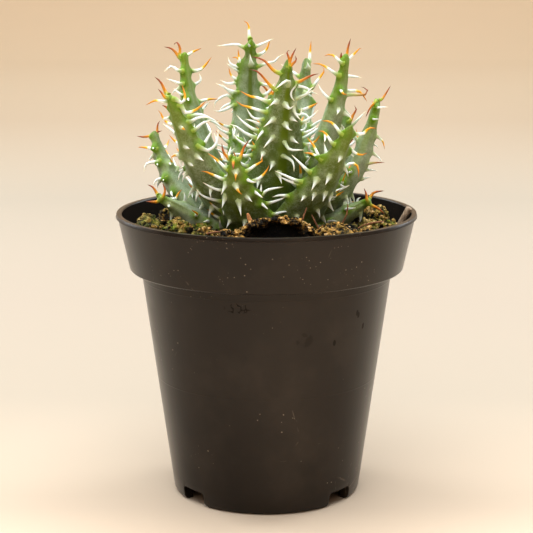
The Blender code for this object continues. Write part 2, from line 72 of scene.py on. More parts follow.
Piece = bpy.types.Object
Material = bpy.types.Material
Triple = tuple[float, float, float]
Colour = Triple
Pair = tuple[float, float]
Stops = tuple[tuple[float, Colour], ...]
Value = Union[float, int, tuple, "Signal"]


# ---- Material nodes ----


class Signal:
    """A shader socket that takes part in sums."""

    def __init__(self, graph: "Graph", socket: bpy.types.NodeSocket) -> None:
        """Keeps the socket and the graph that it belongs to."""
        self.graph = graph
        self.socket = socket

    def _math(self, operation: str, first: Value, second: Value) -> "Signal":
        """The result of a Math node on two values."""
        return self.graph.add("ShaderNodeMath", {"operation": operation}, {0: first, 1: second})

    def __add__(self, other: Value) -> "Signal":
        """This plus other."""
        return self._math("ADD", self, other)

    def __radd__(self, other: Value) -> "Signal":
        """Other plus this."""
        return self._math("ADD", other, self)

    def __sub__(self, other: Value) -> "Signal":
        """This less other."""
        return self._math("SUBTRACT", self, other)

    def __rsub__(self, other: Value) -> "Signal":
        """Other less this."""
        return self._math("SUBTRACT", other, self)

    def __mul__(self, other: Value) -> "Signal":
        """This times other."""
        return self._math("MULTIPLY", self, other)

    def __truediv__(self, other: Value) -> "Signal":
        """This over other."""
        return self._math("DIVIDE", self, other)

    def __abs__(self) -> "Signal":
        """This without its sign."""
        return self.graph.add("ShaderNodeMath", {"operation": "ABSOLUTE"}, {0: self})

    def rise(self, low: float, high: float) -> "Signal":
        """A smooth step.

        Args:
            low: Where the step starts.
            high: Where it ends. Below low, the step falls instead.

        Returns:
            A signal that runs from 0 at low to 1 at high.
        """
        ends = {"From Min": low, "From Max": high, "To Min": 0.0, "To Max": 1.0}
        if high < low:
            ends = {"From Min": high, "From Max": low, "To Min": 1.0, "To Max": 0.0}
        settings = {"interpolation_type": "SMOOTHSTEP"}
        return self.graph.add("ShaderNodeMapRange", settings, {"Value": self, **ends})


class Graph:
    """The nodes of one material."""

    def __init__(self, name: str) -> None:
        """Starts a material with its Principled shader.

        Args:
            name: The material's name.
        """
        self.material = bpy.data.materials.new(name)
        self.material.use_nodes = True
        self.tree = self.material.node_tree
        self.shader = self.tree.nodes["Principled BSDF"]

    def add(
        self,
        kind: str,
        settings: dict[str, object] | None = None,
        inputs: dict[str | int, Value] | None = None,
        output: str | int = 0,
    ) -> Signal:
        """Adds any node.

        Args:
            kind: The node's type.
            settings: Its properties. A ramp takes its (position, colour) pairs as "stops".
            inputs: A value or a signal for each socket, by name or number.
            output: The socket to read, by name or number.

        Returns:
            The chosen output.
        """
        node = self.tree.nodes.new(kind)
        for name, setting in (settings or {}).items():
            if name == "stops":
                self._set_stops(node.color_ramp, setting)
            else:
                setattr(node, name, setting)
        for name, value in (inputs or {}).items():
            self.feed(node, name, value)
        return Signal(self, node.outputs[output])

    @staticmethod
    def _set_stops(ramp: bpy.types.ColorRamp, stops: Stops) -> None:
        """Fills a ramp.

        Args:
            ramp: The ramp, which starts with two stops.
            stops: Its (position, colour) pairs, from left to right.
        """
        while len(ramp.elements) < len(stops):
            ramp.elements.new(0.5)
        for element, (position, colour) in zip(ramp.elements, stops):
            element.position = position
            element.color = (*colour, 1.0)

    def feed(self, node: bpy.types.Node, name: str | int, value: Value) -> None:
        """Links or sets one socket.

        Args:
            node: The node that has the socket.
            name: The socket's name or number.
            value: A signal to link, or a plain value.
        """
        if isinstance(value, Signal):
            self.tree.links.new(value.socket, node.inputs[name])
        elif isinstance(value, tuple) and len(value) == 3 and node.inputs[name].type == "RGBA":
            node.inputs[name].default_value = (*value, 1.0)
        else:
            node.inputs[name].default_value = value

    def dress(self, **inputs: Value) -> None:
        """Feeds the shader. Each name is a socket's, with _ for a space."""
        for name, value in inputs.items():
            self.feed(self.shader, name.replace("_", " "), value)

    def place(self) -> Signal:
        """The point's Object coordinates."""
        return self.add("ShaderNodeTexCoord", output="Object")

    def along(self, axis: str) -> Signal:
        """The point's Object coordinate on one axis."""
        return self.add("ShaderNodeSeparateXYZ", {}, {0: self.place()}, axis)

    def trait(self, name: str) -> Signal:
        """A number that the mesh keeps at its points."""
        return self.add("ShaderNodeAttribute", {"attribute_name": name}, output="Fac")

    def grain(
        self, scale: float, detail: float = 2.0, rough: float = 0.5, stretch: Triple = (1, 1, 1)
    ) -> Signal:
        """Noise in Object coordinates.

        Args:
            scale: Grains in a metre.
            detail: Finer layers.
            rough: The weight of the finer layers.
            stretch: Factors on the coordinates, which draw the grain out where they are small.

        Returns:
            A signal round 0.5.
        """
        spot = self.place()
        if stretch != (1, 1, 1):
            spot = self.add("ShaderNodeMapping", {}, {"Vector": spot, "Scale": stretch})
        sizes = {"Scale": scale, "Detail": detail, "Roughness": rough}
        return self.add("ShaderNodeTexNoise", {}, {"Vector": spot, **sizes}, "Fac")

    def cells(self, scale: float, feature: str = "F1", stretch: Triple = (1, 1, 1)) -> Signal:
        """Distances in a Voronoi pattern.

        Args:
            scale: Points in a metre.
            feature: The distance to read.
            stretch: Factors on the coordinates.

        Returns:
            The distance, 0 at a point or on an edge.
        """
        spot = self.add("ShaderNodeMapping", {}, {"Vector": self.place(), "Scale": stretch})
        inputs = {"Vector": spot, "Scale": scale}
        return self.add("ShaderNodeTexVoronoi", {"feature": feature}, inputs, "Distance")

    def ramp(self, signal: Signal, stops: Stops) -> Signal:
        """Colours along a signal, from (position, colour) pairs."""
        return self.add("ShaderNodeValToRGB", {"stops": stops}, {"Fac": signal}, "Color")

    def mix(self, factor: Value, first: Value, second: Value) -> Signal:
        """The first colour where factor is 0 and the second where it is 1."""
        settings = {"data_type": "RGBA", "clamp_factor": True}
        return self.add("ShaderNodeMix", settings, {0: factor, 6: first, 7: second}, 2)

    def bump(self, height: Signal, distance: float, strength: float = 1.0) -> Signal:
        """A normal that leans with height, for a relief of distance metres."""
        inputs = {"Height": height, "Distance": distance, "Strength": strength}
        return self.add("ShaderNodeBump", {}, inputs)


# ---- Finishes ----


@dataclass(frozen=True)
class PotPlastic:
    """Satin brown-black moulded plastic, dusted and a little scuffed, with painted light that lightens it
    towards the top.

    Each patch is its middle across and up, and half its width and half its height.
    """

    name: str = "pot_plastic"
    colour: Colour = (0.0060, 0.0040, 0.0028)
    gloss: float = 0.30
    shine: float = 0.08
    bloom: float = 0.02
    coat: float = 0.65
    coat_gloss: float = 0.32
    coat_index: float = 1.22
    # Scales the dust and the painted light; the inside's low share paints shade there.
    dust_and_light_share: float = 1.0
    # The dust's colour, which the painted light towards the top also uses.
    dust: Colour = (0.30, 0.24, 0.18)
    drops_patch: tuple[Pair, Pair] = ((27 * MM, 66 * MM), (8 * MM, 14 * MM))
    scribble_patch: tuple[Pair, Pair] = ((-9.6 * MM, 74.8 * MM), (5 * MM, 2 * MM))
    smudge_patch: tuple[Pair, Pair] = ((12.5 * MM, 63.5 * MM), (3.4 * MM, 3 * MM))
    line_heights: tuple[float, ...] = (42.5 * MM, 77.3 * MM)
    line_width: float = 0.35 * MM

    def material(self) -> Material:
        """Builds the material.

        Returns:
            The plastic, with smudges, scratches, dust, dried drops, a scribble and faint mould lines, and
            painted light that grows towards the top.
        """
        graph = Graph(self.name)
        smudge = graph.grain(38, 5, 0.6).rise(0.42, 0.75)
        haze = graph.grain(14, 3, 0.5, (1, 1, 0.35)).rise(0.40, 0.80)
        scuff = graph.grain(420, 3, 0.7, (0.25, 0.25, 1.6)).rise(0.66, 0.80) * smudge
        high = graph.along("Z").rise(0.070, 0.084)
        speck = graph.cells(420).rise(0.12, 0.06) * graph.grain(48, 2).rise(0.54, 0.62)
        fleck = graph.cells(700).rise(0.15, 0.09) * graph.grain(62, 2).rise(0.52, 0.60) * high
        drops = graph.cells(260, stretch=(1, 1, 0.55)).rise(0.19, 0.14)
        drops = drops * self._patch(graph, *self.drops_patch)
        wander = abs(graph.grain(330, 2) - 0.5).rise(0.045, 0.012)
        scribble = wander * self._patch(graph, *self.scribble_patch)
        smudged = graph.grain(300, 3).rise(0.45, 0.6) * self._patch(graph, *self.smudge_patch)
        scrawl = drops * 0.5 + scribble * 0.9 + smudged * 0.3
        edges = graph.cells(60, "DISTANCE_TO_EDGE", (1.0, 1.0, 0.45)).rise(0.012, 0.002)
        scratch = edges * graph.grain(45, 4, 0.7).rise(0.60, 0.68)
        # Painted light: the dust colour grows with height, so the pot is lighter towards the top and darker
        # at its foot.
        painted_height_light = graph.along("Z").rise(0.01, 0.08) * 0.007
        clean = 1.0 - scrawl.rise(0.0, 0.7) * 0.9
        # Real dust, scuffs, specks and scratches, plus the painted light above.
        dust_and_height_light = smudge * 0.035 + haze * 0.045 + scuff * 0.16 + speck * 0.6 + fleck * 0.7
        dust_and_height_light = dust_and_height_light + scratch * 0.22 + painted_height_light
        graph.dress(
            Base_Color=graph.mix(dust_and_height_light * clean * self.dust_and_light_share, self.colour, self.dust),
            Roughness=smudge * 0.12 + haze * 0.06 + scuff * 0.2 + scrawl * 0.45 + self.gloss,
            Sheen_Weight=self.bloom,
            Sheen_Roughness=0.3,
            Sheen_Tint=(1.0, 0.86, 0.72),
            Specular_IOR_Level=self.shine,
            Coat_Weight=clean * self.coat,
            Coat_Roughness=self.coat_gloss,
            Coat_IOR=self.coat_index,
        )
        relief = graph.grain(55, 2) * 0.5 + graph.grain(1500, 2) * 0.06 - scratch * 0.3 + scrawl * 0.3
        for height in self.line_heights:
            relief = relief + abs(graph.along("Z") - height).rise(self.line_width, 0.0) * 0.3
        graph.dress(Normal=graph.bump(relief, 0.35 * MM, 0.6))
        return graph.material

    @staticmethod
    def _patch(graph: Graph, middle: Pair, half: Pair) -> Signal:
        """1 in a patch of the pot's front and 0 outside it."""
        across, up = (graph.along("X") - middle[0]) / half[0], (graph.along("Z") - middle[1]) / half[1]
        return (across * across + up * up).rise(1.0, 0.5) * graph.along("Y").rise(0.0, -MM)


@dataclass(frozen=True)
class LeafSkin:
    """Waxy grey-green leaf skin with a green keel, a green tip and green swellings under the teeth, darker
    towards each leaf's foot as painted shade.
    """

    deep: Colour = (0.074, 0.112, 0.019)
    bloom: Colour = (0.320, 0.390, 0.275)
    keel: Colour = (0.080, 0.125, 0.002)
    swelling: Colour = (0.110, 0.225, 0.004)
    tip: Colour = (0.180, 0.255, 0.014)
    pale: Colour = (0.54, 0.62, 0.40)

    def material(self) -> Material:
        """Builds the material.

        Returns:
            The skin, mottled and finely pitted.
        """
        graph = Graph("leaf_skin")
        mottle = graph.grain(170, 4, 0.6)
        blotch = graph.grain(640, 3, 0.6)
        streak = graph.grain(360, 3, 0.6, (1, 1, 0.3))
        speckle = graph.grain(2300, 2, 0.6)
        # The bloom trait is lower towards each leaf's foot, which paints shade there.
        wax = graph.trait("bloom") + (mottle - 0.5) * 0.80 + (streak - 0.5) * 0.45
        wax = wax + (blotch - 0.5) * 1.05 + (speckle - 0.5) * 1.10
        colour = graph.mix(wax, self.deep, self.bloom)
        colour = graph.mix(graph.trait("keel") * (0.92 + blotch * 0.16), colour, self.keel)
        colour = graph.mix(graph.trait("ripeness") * (0.4 + blotch * 0.7), colour, self.tip)
        colour = graph.mix(graph.trait("swelling") * (0.80 + mottle * 0.5), colour, self.swelling)
        colour = graph.mix(graph.trait("pallor") * (0.55 + blotch * 0.5), colour, self.pale)
        graph.dress(
            Base_Color=colour,
            Roughness=0.50 + (mottle - 0.5) * 0.2 + graph.trait("keel") * 0.3,
            Subsurface_Weight=0.30,
            Subsurface_Radius=(0.7, 1.0, 0.35),
            Subsurface_Scale=1.1 * MM,
            Specular_IOR_Level=0.16,
        )
        relief = speckle * 0.30 + mottle * 0.8 + streak * 0.5
        graph.dress(Normal=graph.bump(relief, 0.28 * MM, 0.6))
        return graph.material


@dataclass(frozen=True)
class ToothHorn:
    """Horny teeth: white, then orange and brown towards a ripe tip."""

    root: Colour = (0.24, 0.35, 0.04)
    pale_root: Colour = (0.34, 0.42, 0.19)
    stops: Stops = (
        (0.0, (0.78, 0.84, 0.82)),
        (0.10, (0.88, 0.74, 0.34)),
        (0.22, (0.80, 0.43, 0.008)),
        (0.50, (0.66, 0.26, 0.004)),
        (0.80, (0.28, 0.055, 0.006)),
        (1.0, (0.09, 0.022, 0.010)),
    )

    def material(self) -> Material:
        """Builds the material.

        Returns:
            The horn, greener where it leaves the leaf.
        """
        graph = Graph("tooth_horn")
        colour = graph.ramp(graph.trait("ripeness"), self.stops)
        root = graph.mix(graph.trait("pallor"), self.root, self.pale_root)
        colour = graph.mix(graph.trait("rooting"), colour, root)
        graph.dress(
            Base_Color=colour,
            Roughness=0.34 + graph.grain(900, 2) * 0.12,
            Subsurface_Weight=0.12,
            Subsurface_Radius=(1.0, 0.95, 0.8),
            Subsurface_Scale=0.6 * MM,
            Specular_IOR_Level=0.25,
        )
        return graph.material


@dataclass(frozen=True)
class SoilCrust:
    """Black peat with crumbly ochre and olive crusts and flecks of moss, pale on crests and dark in pits
    partly as painted light and shade, and painted shade in the hollow under the front clod.
    """

    peat: Colour = (0.005, 0.0038, 0.0026)
    earth: Colour = (0.070, 0.042, 0.016)
    ochre: Colour = (0.48, 0.26, 0.055)
    tan: Colour = (0.66, 0.44, 0.22)
    dark_olive: Colour = (0.055, 0.050, 0.010)
    olive: Colour = (0.125, 0.105, 0.016)
    pale_olive: Colour = (0.24, 0.205, 0.050)
    moss: Colour = (0.045, 0.10, 0.006)
    young_moss: Colour = (0.17, 0.28, 0.016)
    shade: Colour = (0.0015, 0.0012, 0.001)
    levels: tuple[float, ...] = (0.0, 0.26, 0.42, 0.64, 0.90)

    def material(self) -> Material:
        """Builds the material.

        Returns:
            The soil: dark in its pits, pale on its crests, partly as painted shade and painted highlight.
        """
        graph = Graph("soil_crust")
        crumb = graph.grain(1100, 4, 0.65)
        patch = graph.grain(140, 3, 0.6)
        lump = graph.grain(430, 2)
        # Lighter on crests and upper sides, darker in pits: partly the dry crust's and the peat's own
        # colours, partly painted highlight and painted shade.
        light = graph.trait("relief") * 0.74 + (crumb - 0.5) * 1.4 + (patch - 0.5) * 0.8
        light = light + (lump - 0.5) * 1.3
        ochres = (self.peat, self.peat, self.earth, self.ochre, self.tan)
        olives = (self.peat, self.peat, self.dark_olive, self.olive, self.pale_olive)
        colour, crusted = (graph.ramp(light, tuple(zip(self.levels, tones))) for tones in (ochres, olives))
        colour = graph.mix(graph.trait("olive") + (patch - 0.5) * 1.2 - (lump - 0.5) * 1.6, colour, crusted)
        green = graph.mix(graph.grain(420, 2).rise(0.44, 0.62), self.moss, self.young_moss)
        growth = graph.grain(230, 3, 0.6).rise(0.47, 0.56) * light.rise(0.22, 0.45) * graph.trait("mossy")
        colour = graph.mix(growth, colour, green)
        # Painted shade in the hollow under the front clod.
        colour = graph.mix(graph.trait("hollow"), colour, self.shade)
        graph.dress(
            Base_Color=colour,
            Roughness=0.95 - crumb * 0.1,
            Specular_IOR_Level=0.2,
            Normal=graph.bump(crumb + graph.grain(2600, 3) * 0.4, 0.7 * MM, 0.9),
        )
        return graph.material


@dataclass(frozen=True)
class Bark:
    """Dry fibrous skin of the stem, the twig and the dead spines."""

    name: str
    dark: Colour
    pale: Colour
    fibre: float = 700.0

    def material(self) -> Material:
        """Builds the material.

        Returns:
            The bark, streaked along its height.
        """
        graph = Graph(self.name)
        streak = graph.grain(self.fibre, 4, 0.65, (1, 1, 0.3)).rise(0.35, 0.68)
        blotch = graph.grain(self.fibre / 4, 3).rise(0.40, 0.62)
        graph.dress(
            Base_Color=graph.mix(streak * 0.75 + blotch * 0.25, self.dark, self.pale),
            Roughness=0.80 + blotch * 0.12,
            Normal=graph.bump(streak, 0.25 * MM, 0.8),
        )
        return graph.material


@dataclass(frozen=True)
class BackdropPaper:
    """The sweep of pale warm paper under and behind the plant, in tones from near to far along Y, which paint
    its light and shade.
    """

    # Painted light and shade along Y: bright in front of the pot to lift its shadow, darker round and behind
    # it, lighter again up the wall.
    tones: Stops = (
        (-0.40, (0.76, 0.60, 0.46)),
        (-0.12, (0.76, 0.60, 0.455)),
        (-0.02, (0.425, 0.345, 0.268)),
        (0.11, (0.328, 0.280, 0.225)),
        (0.30, (0.308, 0.260, 0.211)),
        (0.64, (0.286, 0.245, 0.196)),
        (1.18, (0.390, 0.306, 0.222)),
        (2.06, (0.630, 0.498, 0.352)),
        (2.60, (0.610, 0.450, 0.296)),
    )

    def material(self) -> Material:
        """Builds the material.

        Returns:
            The paper, with painted light and shade that change with its distance.
        """
        graph = Graph("backdrop_paper")
        near, far = self.tones[0][0], self.tones[-1][0]
        stops = tuple(((depth - near) / (far - near), colour) for depth, colour in self.tones)
        graph.dress(
            Base_Color=graph.ramp((graph.along("Y") - near) / (far - near), stops),
            Roughness=0.9,
            Specular_IOR_Level=0.0,
        )
        return graph.material


# ---- The bench: hand tools ----


class Bench:
    """Modelling steps with Blender's own tools, on one piece at a time."""

    @staticmethod
    def clear() -> None:
        """Leaves nothing selected and nothing being edited."""
        if bpy.context.object and bpy.context.object.mode != "OBJECT":
            bpy.ops.object.mode_set(mode="OBJECT")
        bpy.ops.object.select_all(action="DESELECT")

    @staticmethod
    def settle(name: str) -> Piece:
        """Names the new primitive and puts its place into its mesh.

        Args:
            name: The piece's name.

        Returns:
            The piece.
        """
        piece = bpy.context.object
        piece.name = name
        piece.data.name = name
        bpy.ops.object.transform_apply(location=True, rotation=True, scale=True)
        return piece

    @staticmethod
    def open() -> None:
        """Opens the active piece for editing, with all of it selected."""
        bpy.ops.object.mode_set(mode="EDIT")
        bpy.ops.mesh.select_all(action="SELECT")

    @staticmethod
    def close() -> None:
        """Turns the normals of the piece being edited outwards, and ends the editing."""
        bpy.ops.mesh.select_all(action="SELECT")
        bpy.ops.mesh.normals_make_consistent(inside=False)
        bpy.ops.object.mode_set(mode="OBJECT")

    @staticmethod
    def pick(piece: Piece) -> None:
        """Selects one piece alone and makes it the active one.

        Args:
            piece: The piece.
        """
        Bench.clear()
        bpy.context.view_layer.objects.active = piece
        piece.select_set(True)

    @staticmethod
    def face_out(piece: Piece) -> None:
        """Turns the normals of a closed piece outwards, after a bend that mirrored it."""
        Bench.pick(piece)
        Bench.open()
        Bench.close()

    @staticmethod
    def turn(name: str, profile: Sequence[Pair], sides: int) -> Piece:
        """Draws a closed round piece out of a disc, ring by ring.

        Args:
            name: The piece's name.
            profile: (radius, height) of each ring, from the first disc to the last.
            sides: How many sides it has.

        Returns:
            The piece, with its normals outwards.
        """
        Bench.clear()
        radius, height = profile[0]
        bpy.ops.mesh.primitive_circle_add(
            vertices=sides, radius=radius, fill_type="NGON", location=(0, 0, height)
        )
        piece = Bench.settle(name)
        Bench.open()
        for (radius, height), (next_radius, next_height) in zip(profile, profile[1:]):
            factor = next_radius / radius
            bpy.ops.mesh.extrude_region_move(TRANSFORM_OT_translate={"value": (0, 0, next_height - height)})
            bpy.ops.transform.resize(value=(factor, factor, 1.0), center_override=(0, 0, next_height))
        Bench.close()
        return piece

    @staticmethod
    def finish_with(piece: Piece, kind: str, **settings: object) -> None:
        """Adds one modifier and applies it.

        Args:
            piece: The piece.
            kind: The modifier's type.
            settings: Its properties.
        """
        Bench.pick(piece)
        step = piece.modifiers.new(kind.lower(), kind)
        for name, value in settings.items():
            setattr(step, name, value)
        bpy.ops.object.modifier_apply(modifier=step.name)

    @staticmethod
    def subdivide(piece: Piece, levels: int) -> None:
        """Rounds the piece with a subdivision surface."""
        Bench.finish_with(piece, "SUBSURF", levels=levels, render_levels=levels)

    @staticmethod
    def smooth(piece: Piece, angle: float) -> None:
        """Shades the piece smooth but for edges sharper than angle, in degrees."""
        Bench.pick(piece)
        bpy.ops.object.shade_smooth_by_angle(angle=math.radians(angle))

    @staticmethod
    def copy(model: Piece, name: str) -> Piece:
        """Copies a model.

        Args:
            model: The model.
            name: The copy's name.

        Returns:
            The copy, with a mesh of its own.
        """
        made = bpy.data.objects.new(name, model.data.copy())
        bpy.context.scene.collection.objects.link(made)
        return made

    @staticmethod
    def join(pieces: list[Piece], name: str) -> Piece:
        """Joins pieces into one.

        Args:
            pieces: The pieces. The first one stays.
            name: The joined piece's name.

        Returns:
            The joined piece.
        """
        Bench.clear()
        for piece in pieces:
            piece.select_set(True)
        bpy.context.view_layer.objects.active = pieces[0]
        bpy.ops.object.join()
        pieces[0].name = name
        pieces[0].data.name = name
        return pieces[0]

    @staticmethod
    def drop(model: Piece) -> None:
        """Removes a model that was only copied."""
        bpy.data.objects.remove(model)

    @staticmethod
    def points(piece: Piece) -> np.ndarray:
        """Reads the vertices.

        Args:
            piece: The piece.

        Returns:
            Their places, one row each.
        """
        places = np.empty(len(piece.data.vertices) * 3)
        piece.data.vertices.foreach_get("co", places)
        return places.reshape(-1, 3)

    @staticmethod
    def move_to(piece: Piece, places: np.ndarray) -> None:
        """Puts the piece's vertices at these places."""
        piece.data.vertices.foreach_set("co", places.astype(np.float32).ravel())
        piece.data.update()

    @staticmethod
    def keep(piece: Piece, **traits: np.ndarray | float) -> None:
        """Keeps named numbers at the vertices, for the materials.

        Args:
            piece: The piece.
            traits: Each one number for the whole piece, or one for each vertex.
        """
        for name, values in traits.items():
            kept = piece.data.attributes.new(name, "FLOAT", "POINT")
            kept.data.foreach_set("value", np.full(len(kept.data), values, dtype=np.float32))

    @staticmethod
    def dress(piece: Piece, *materials: Material) -> None:
        """Gives a piece its materials.

        Args:
            piece: The piece.
            materials: Its materials, in order.
        """
        piece.data.materials.clear()
        for material in materials:
            piece.data.materials.append(material)

    @staticmethod
    def hand_over(piece: Piece, slot: str, *nodes: str) -> None:
        """Sets the finished piece on the part's body and reports it.

        Args:
            piece: The piece.
            slot: The record's material slot that it shows; not used.
            nodes: The nodes that it stands for.
        """
        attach(piece, "root")
        if nodes:
            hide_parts(*nodes)
        LOG.info("%s: %d faces", piece.name, len(piece.data.polygons))


def step_between(values: np.ndarray | float, low: float, high: float) -> np.ndarray:
    """A smooth step, from 0 at low and before it to 1 at high and after it."""
    share = np.clip((np.asarray(values, dtype=float) - low) / (high - low), 0.0, 1.0)
    return share * share * (3 - 2 * share)


def on_azimuth(azimuth: float, radius: float, height: float = 0.0) -> Vector:
    """The point at this azimuth in degrees, distance from the axis and height."""
    a = math.radians(azimuth)
    return Vector((radius * math.sin(a), -radius * math.cos(a), height))


# ---- The pot ----


@dataclass
class Pot:
    """A 10.5 cm nursery pot with a deep collar, a lip and four drain notches."""

    height: float = 100 * MM
    lip_radius: float = 52.5 * MM
    lip_width: float = 2.1 * MM
    lip_height: float = 1.4 * MM
    lip_overhang: float = 0.7 * MM
    collar_depth: float = 20.2 * MM
    collar_foot: float = 47.9 * MM
    body_top: float = 43.9 * MM
    body_foot: float = 33.0 * MM
    wall: float = 1.1 * MM
    foot_wall: float = 3.2 * MM
    foot_round: float = 1.6 * MM
    floor_bottom: float = 2.6 * MM
    floor_top: float = 4.0 * MM
    sides: int = 128
    notch_azimuths: tuple[float, ...] = (-50, 50, 130, -130)
    notch_width: float = 11.0 * MM
    notch_height: float = 5.4 * MM
    notch_depth: float = 7.0 * MM
    notch_round: float = 1.4 * MM
    notch_excess: float = 4 * MM
    edge_round: float = 0.28 * MM

    def profile(self) -> list[Pair]:
        """The shell's rings, from under its floor, up its outside and down its inside.

        Returns:
            (radius, height) of each ring.
        """
        collar_top = self.height - self.lip_height
        ledge = self.height - self.collar_depth
        slope = (self.body_top - self.body_foot) / ledge
        lip_inside = self.lip_radius - self.lip_width
        foot, wall, curve, above_notch = self.body_foot, self.wall, self.foot_round, 1.35 * self.notch_height
        return [
            (foot - self.foot_wall - 0.4 * MM, self.floor_bottom),
            (foot - self.foot_wall, 0.0),
            (foot - curve, 0.0),
            (foot - 0.3 * curve, 0.3 * curve),
            (foot + slope * curve, curve),
            (foot + slope * above_notch, above_notch),
            (self.body_top - 0.5 * slope * ledge, 0.5 * ledge),
            (self.body_top, ledge),
            (self.collar_foot - 0.4 * MM, ledge + 0.7 * MM),
            (self.collar_foot, ledge + 1.1 * MM),
            (self.lip_radius - self.lip_overhang, collar_top),
            (self.lip_radius, collar_top + 0.2 * MM),
            (self.lip_radius - 0.3 * MM, self.height),
            (lip_inside + 0.3 * MM, self.height),
            (lip_inside, self.height - 0.4 * MM),
            (self.collar_foot - wall, ledge + wall),
            (self.body_top - wall, ledge + wall),
            (foot - wall + slope * self.floor_top, self.floor_top),
        ]

    def inner_radius(self, height: float) -> float:
        """The inside of the wall.

        Args:
            height: A height inside the collar or the body.

        Returns:
            The wall's inner radius there.
        """
        ledge = self.height - self.collar_depth
        if height <= ledge + self.wall:
            return self.body_foot + (self.body_top - self.body_foot) * height / ledge - self.wall
        share = (height - ledge - self.wall) / (self.collar_depth - self.wall)
        foot, lip = self.collar_foot - self.wall, self.lip_radius - self.lip_width
        return foot + (lip - foot) * share

    def build(self) -> None:
        """Turns the shell, cuts its drain notches, rounds its edges and dresses it, with painted shade on its
        inside wall.
        """
        pot = Bench.turn("pot_shell", self.profile(), self.sides)
        for azimuth in self.notch_azimuths:
            notch = self._notch(azimuth)
            Bench.finish_with(pot, "BOOLEAN", operation="DIFFERENCE", solver="EXACT", object=notch)
            Bench.drop(notch)
        Bench.finish_with(
            pot,
            "BEVEL",
            width=self.edge_round,
            segments=3,
            limit_method="ANGLE",
            angle_limit=math.radians(28),
            use_clamp_overlap=True,
        )
        Bench.smooth(pot, 35)
        # Painted shade: the inside wall gets a darker copy of the plastic, without its shine or coat and with
        # less dust.
        dark = (0.006, 0.0048, 0.004)
        shaded_inside = PotPlastic("pot_inside_painted_shade", dark, 0.8, shine=0.0, bloom=0.0, coat=0.0, dust_and_light_share=0.3)
        Bench.dress(pot, PotPlastic().material(), shaded_inside.material())
        # The inside wall's faces take the painted shade.
        for face in pot.data.polygons:
            outwards = face.center.xy.dot(face.normal.xy)
            inside = outwards < -0.3 * face.center.xy.length and face.center.z < self.height - 0.5 * MM
            face.material_index = int(inside)
        Bench.hand_over(pot, "pot", "pot")

    def _notch(self, azimuth: float) -> Piece:
        """Shapes the block that cuts one drain notch, its upper corners rounded.

        Args:
            azimuth: The notch's azimuth.

        Returns:
            The block.
        """
        Bench.clear()
        reach = self.notch_depth + self.notch_excess
        middle = on_azimuth(azimuth, self.body_foot - self.notch_depth + reach / 2)
        bpy.ops.mesh.primitive_cube_add(size=1.0, location=(0, 0, 0))
        notch = Bench.settle("notch")
        Bench.open()
        size = (self.notch_width, reach, 2 * self.notch_height)
        bpy.ops.transform.resize(value=size, center_override=(0, 0, 0))
        bpy.ops.object.mode_set(mode="OBJECT")
        for edge in notch.data.edges:
            ends = [notch.data.vertices[i].co for i in edge.vertices]
            edge.select = all(end.z > 0 for end in ends) and abs(ends[0].x - ends[1].x) < self.wall
        bpy.ops.object.mode_set(mode="EDIT")
        bpy.ops.mesh.bevel(offset=self.notch_round, segments=4)
        Bench.close()
        sine, cosine = math.sin(math.radians(azimuth)), math.cos(math.radians(azimuth))
        x, y, z = Bench.points(notch).T
        turned = (x * cosine - y * sine + middle.x, x * sine + y * cosine + middle.y, z)
        Bench.move_to(notch, np.stack(turned, -1))
        return notch


# ---- The soil ----


@dataclass(frozen=True)
class Clod:
    """A crusted lump in the soil's surface, in millimetres, and how many crumbs cling to it."""

    x: float
    y: float
    top: float
    radii: Triple
    turn: float
    olive: float = 0.3
    mossy: float = 0.1
    crumbs: int = 60
    fineness: int = 5
    hollow: bool = False

    def centre(self) -> Vector:
        """The middle of the lump."""
        return Vector((self.x * MM, self.y * MM, (self.top - self.radii[2]) * MM))

    def point(self, unit: Vector, reach: float = 1.0) -> Vector:
        """A point of the lump.

        Args:
            unit: The same point of a unit ball.
            reach: 1 on the lump's smooth form, and more outside it.

        Returns:
            The point in metres.
        """
        local = Vector(tuple(share * radius for share, radius in zip(unit, self.radii))) * (MM * reach)
        local.rotate(Euler((0, 0, math.radians(self.turn))))
        return self.centre() + local


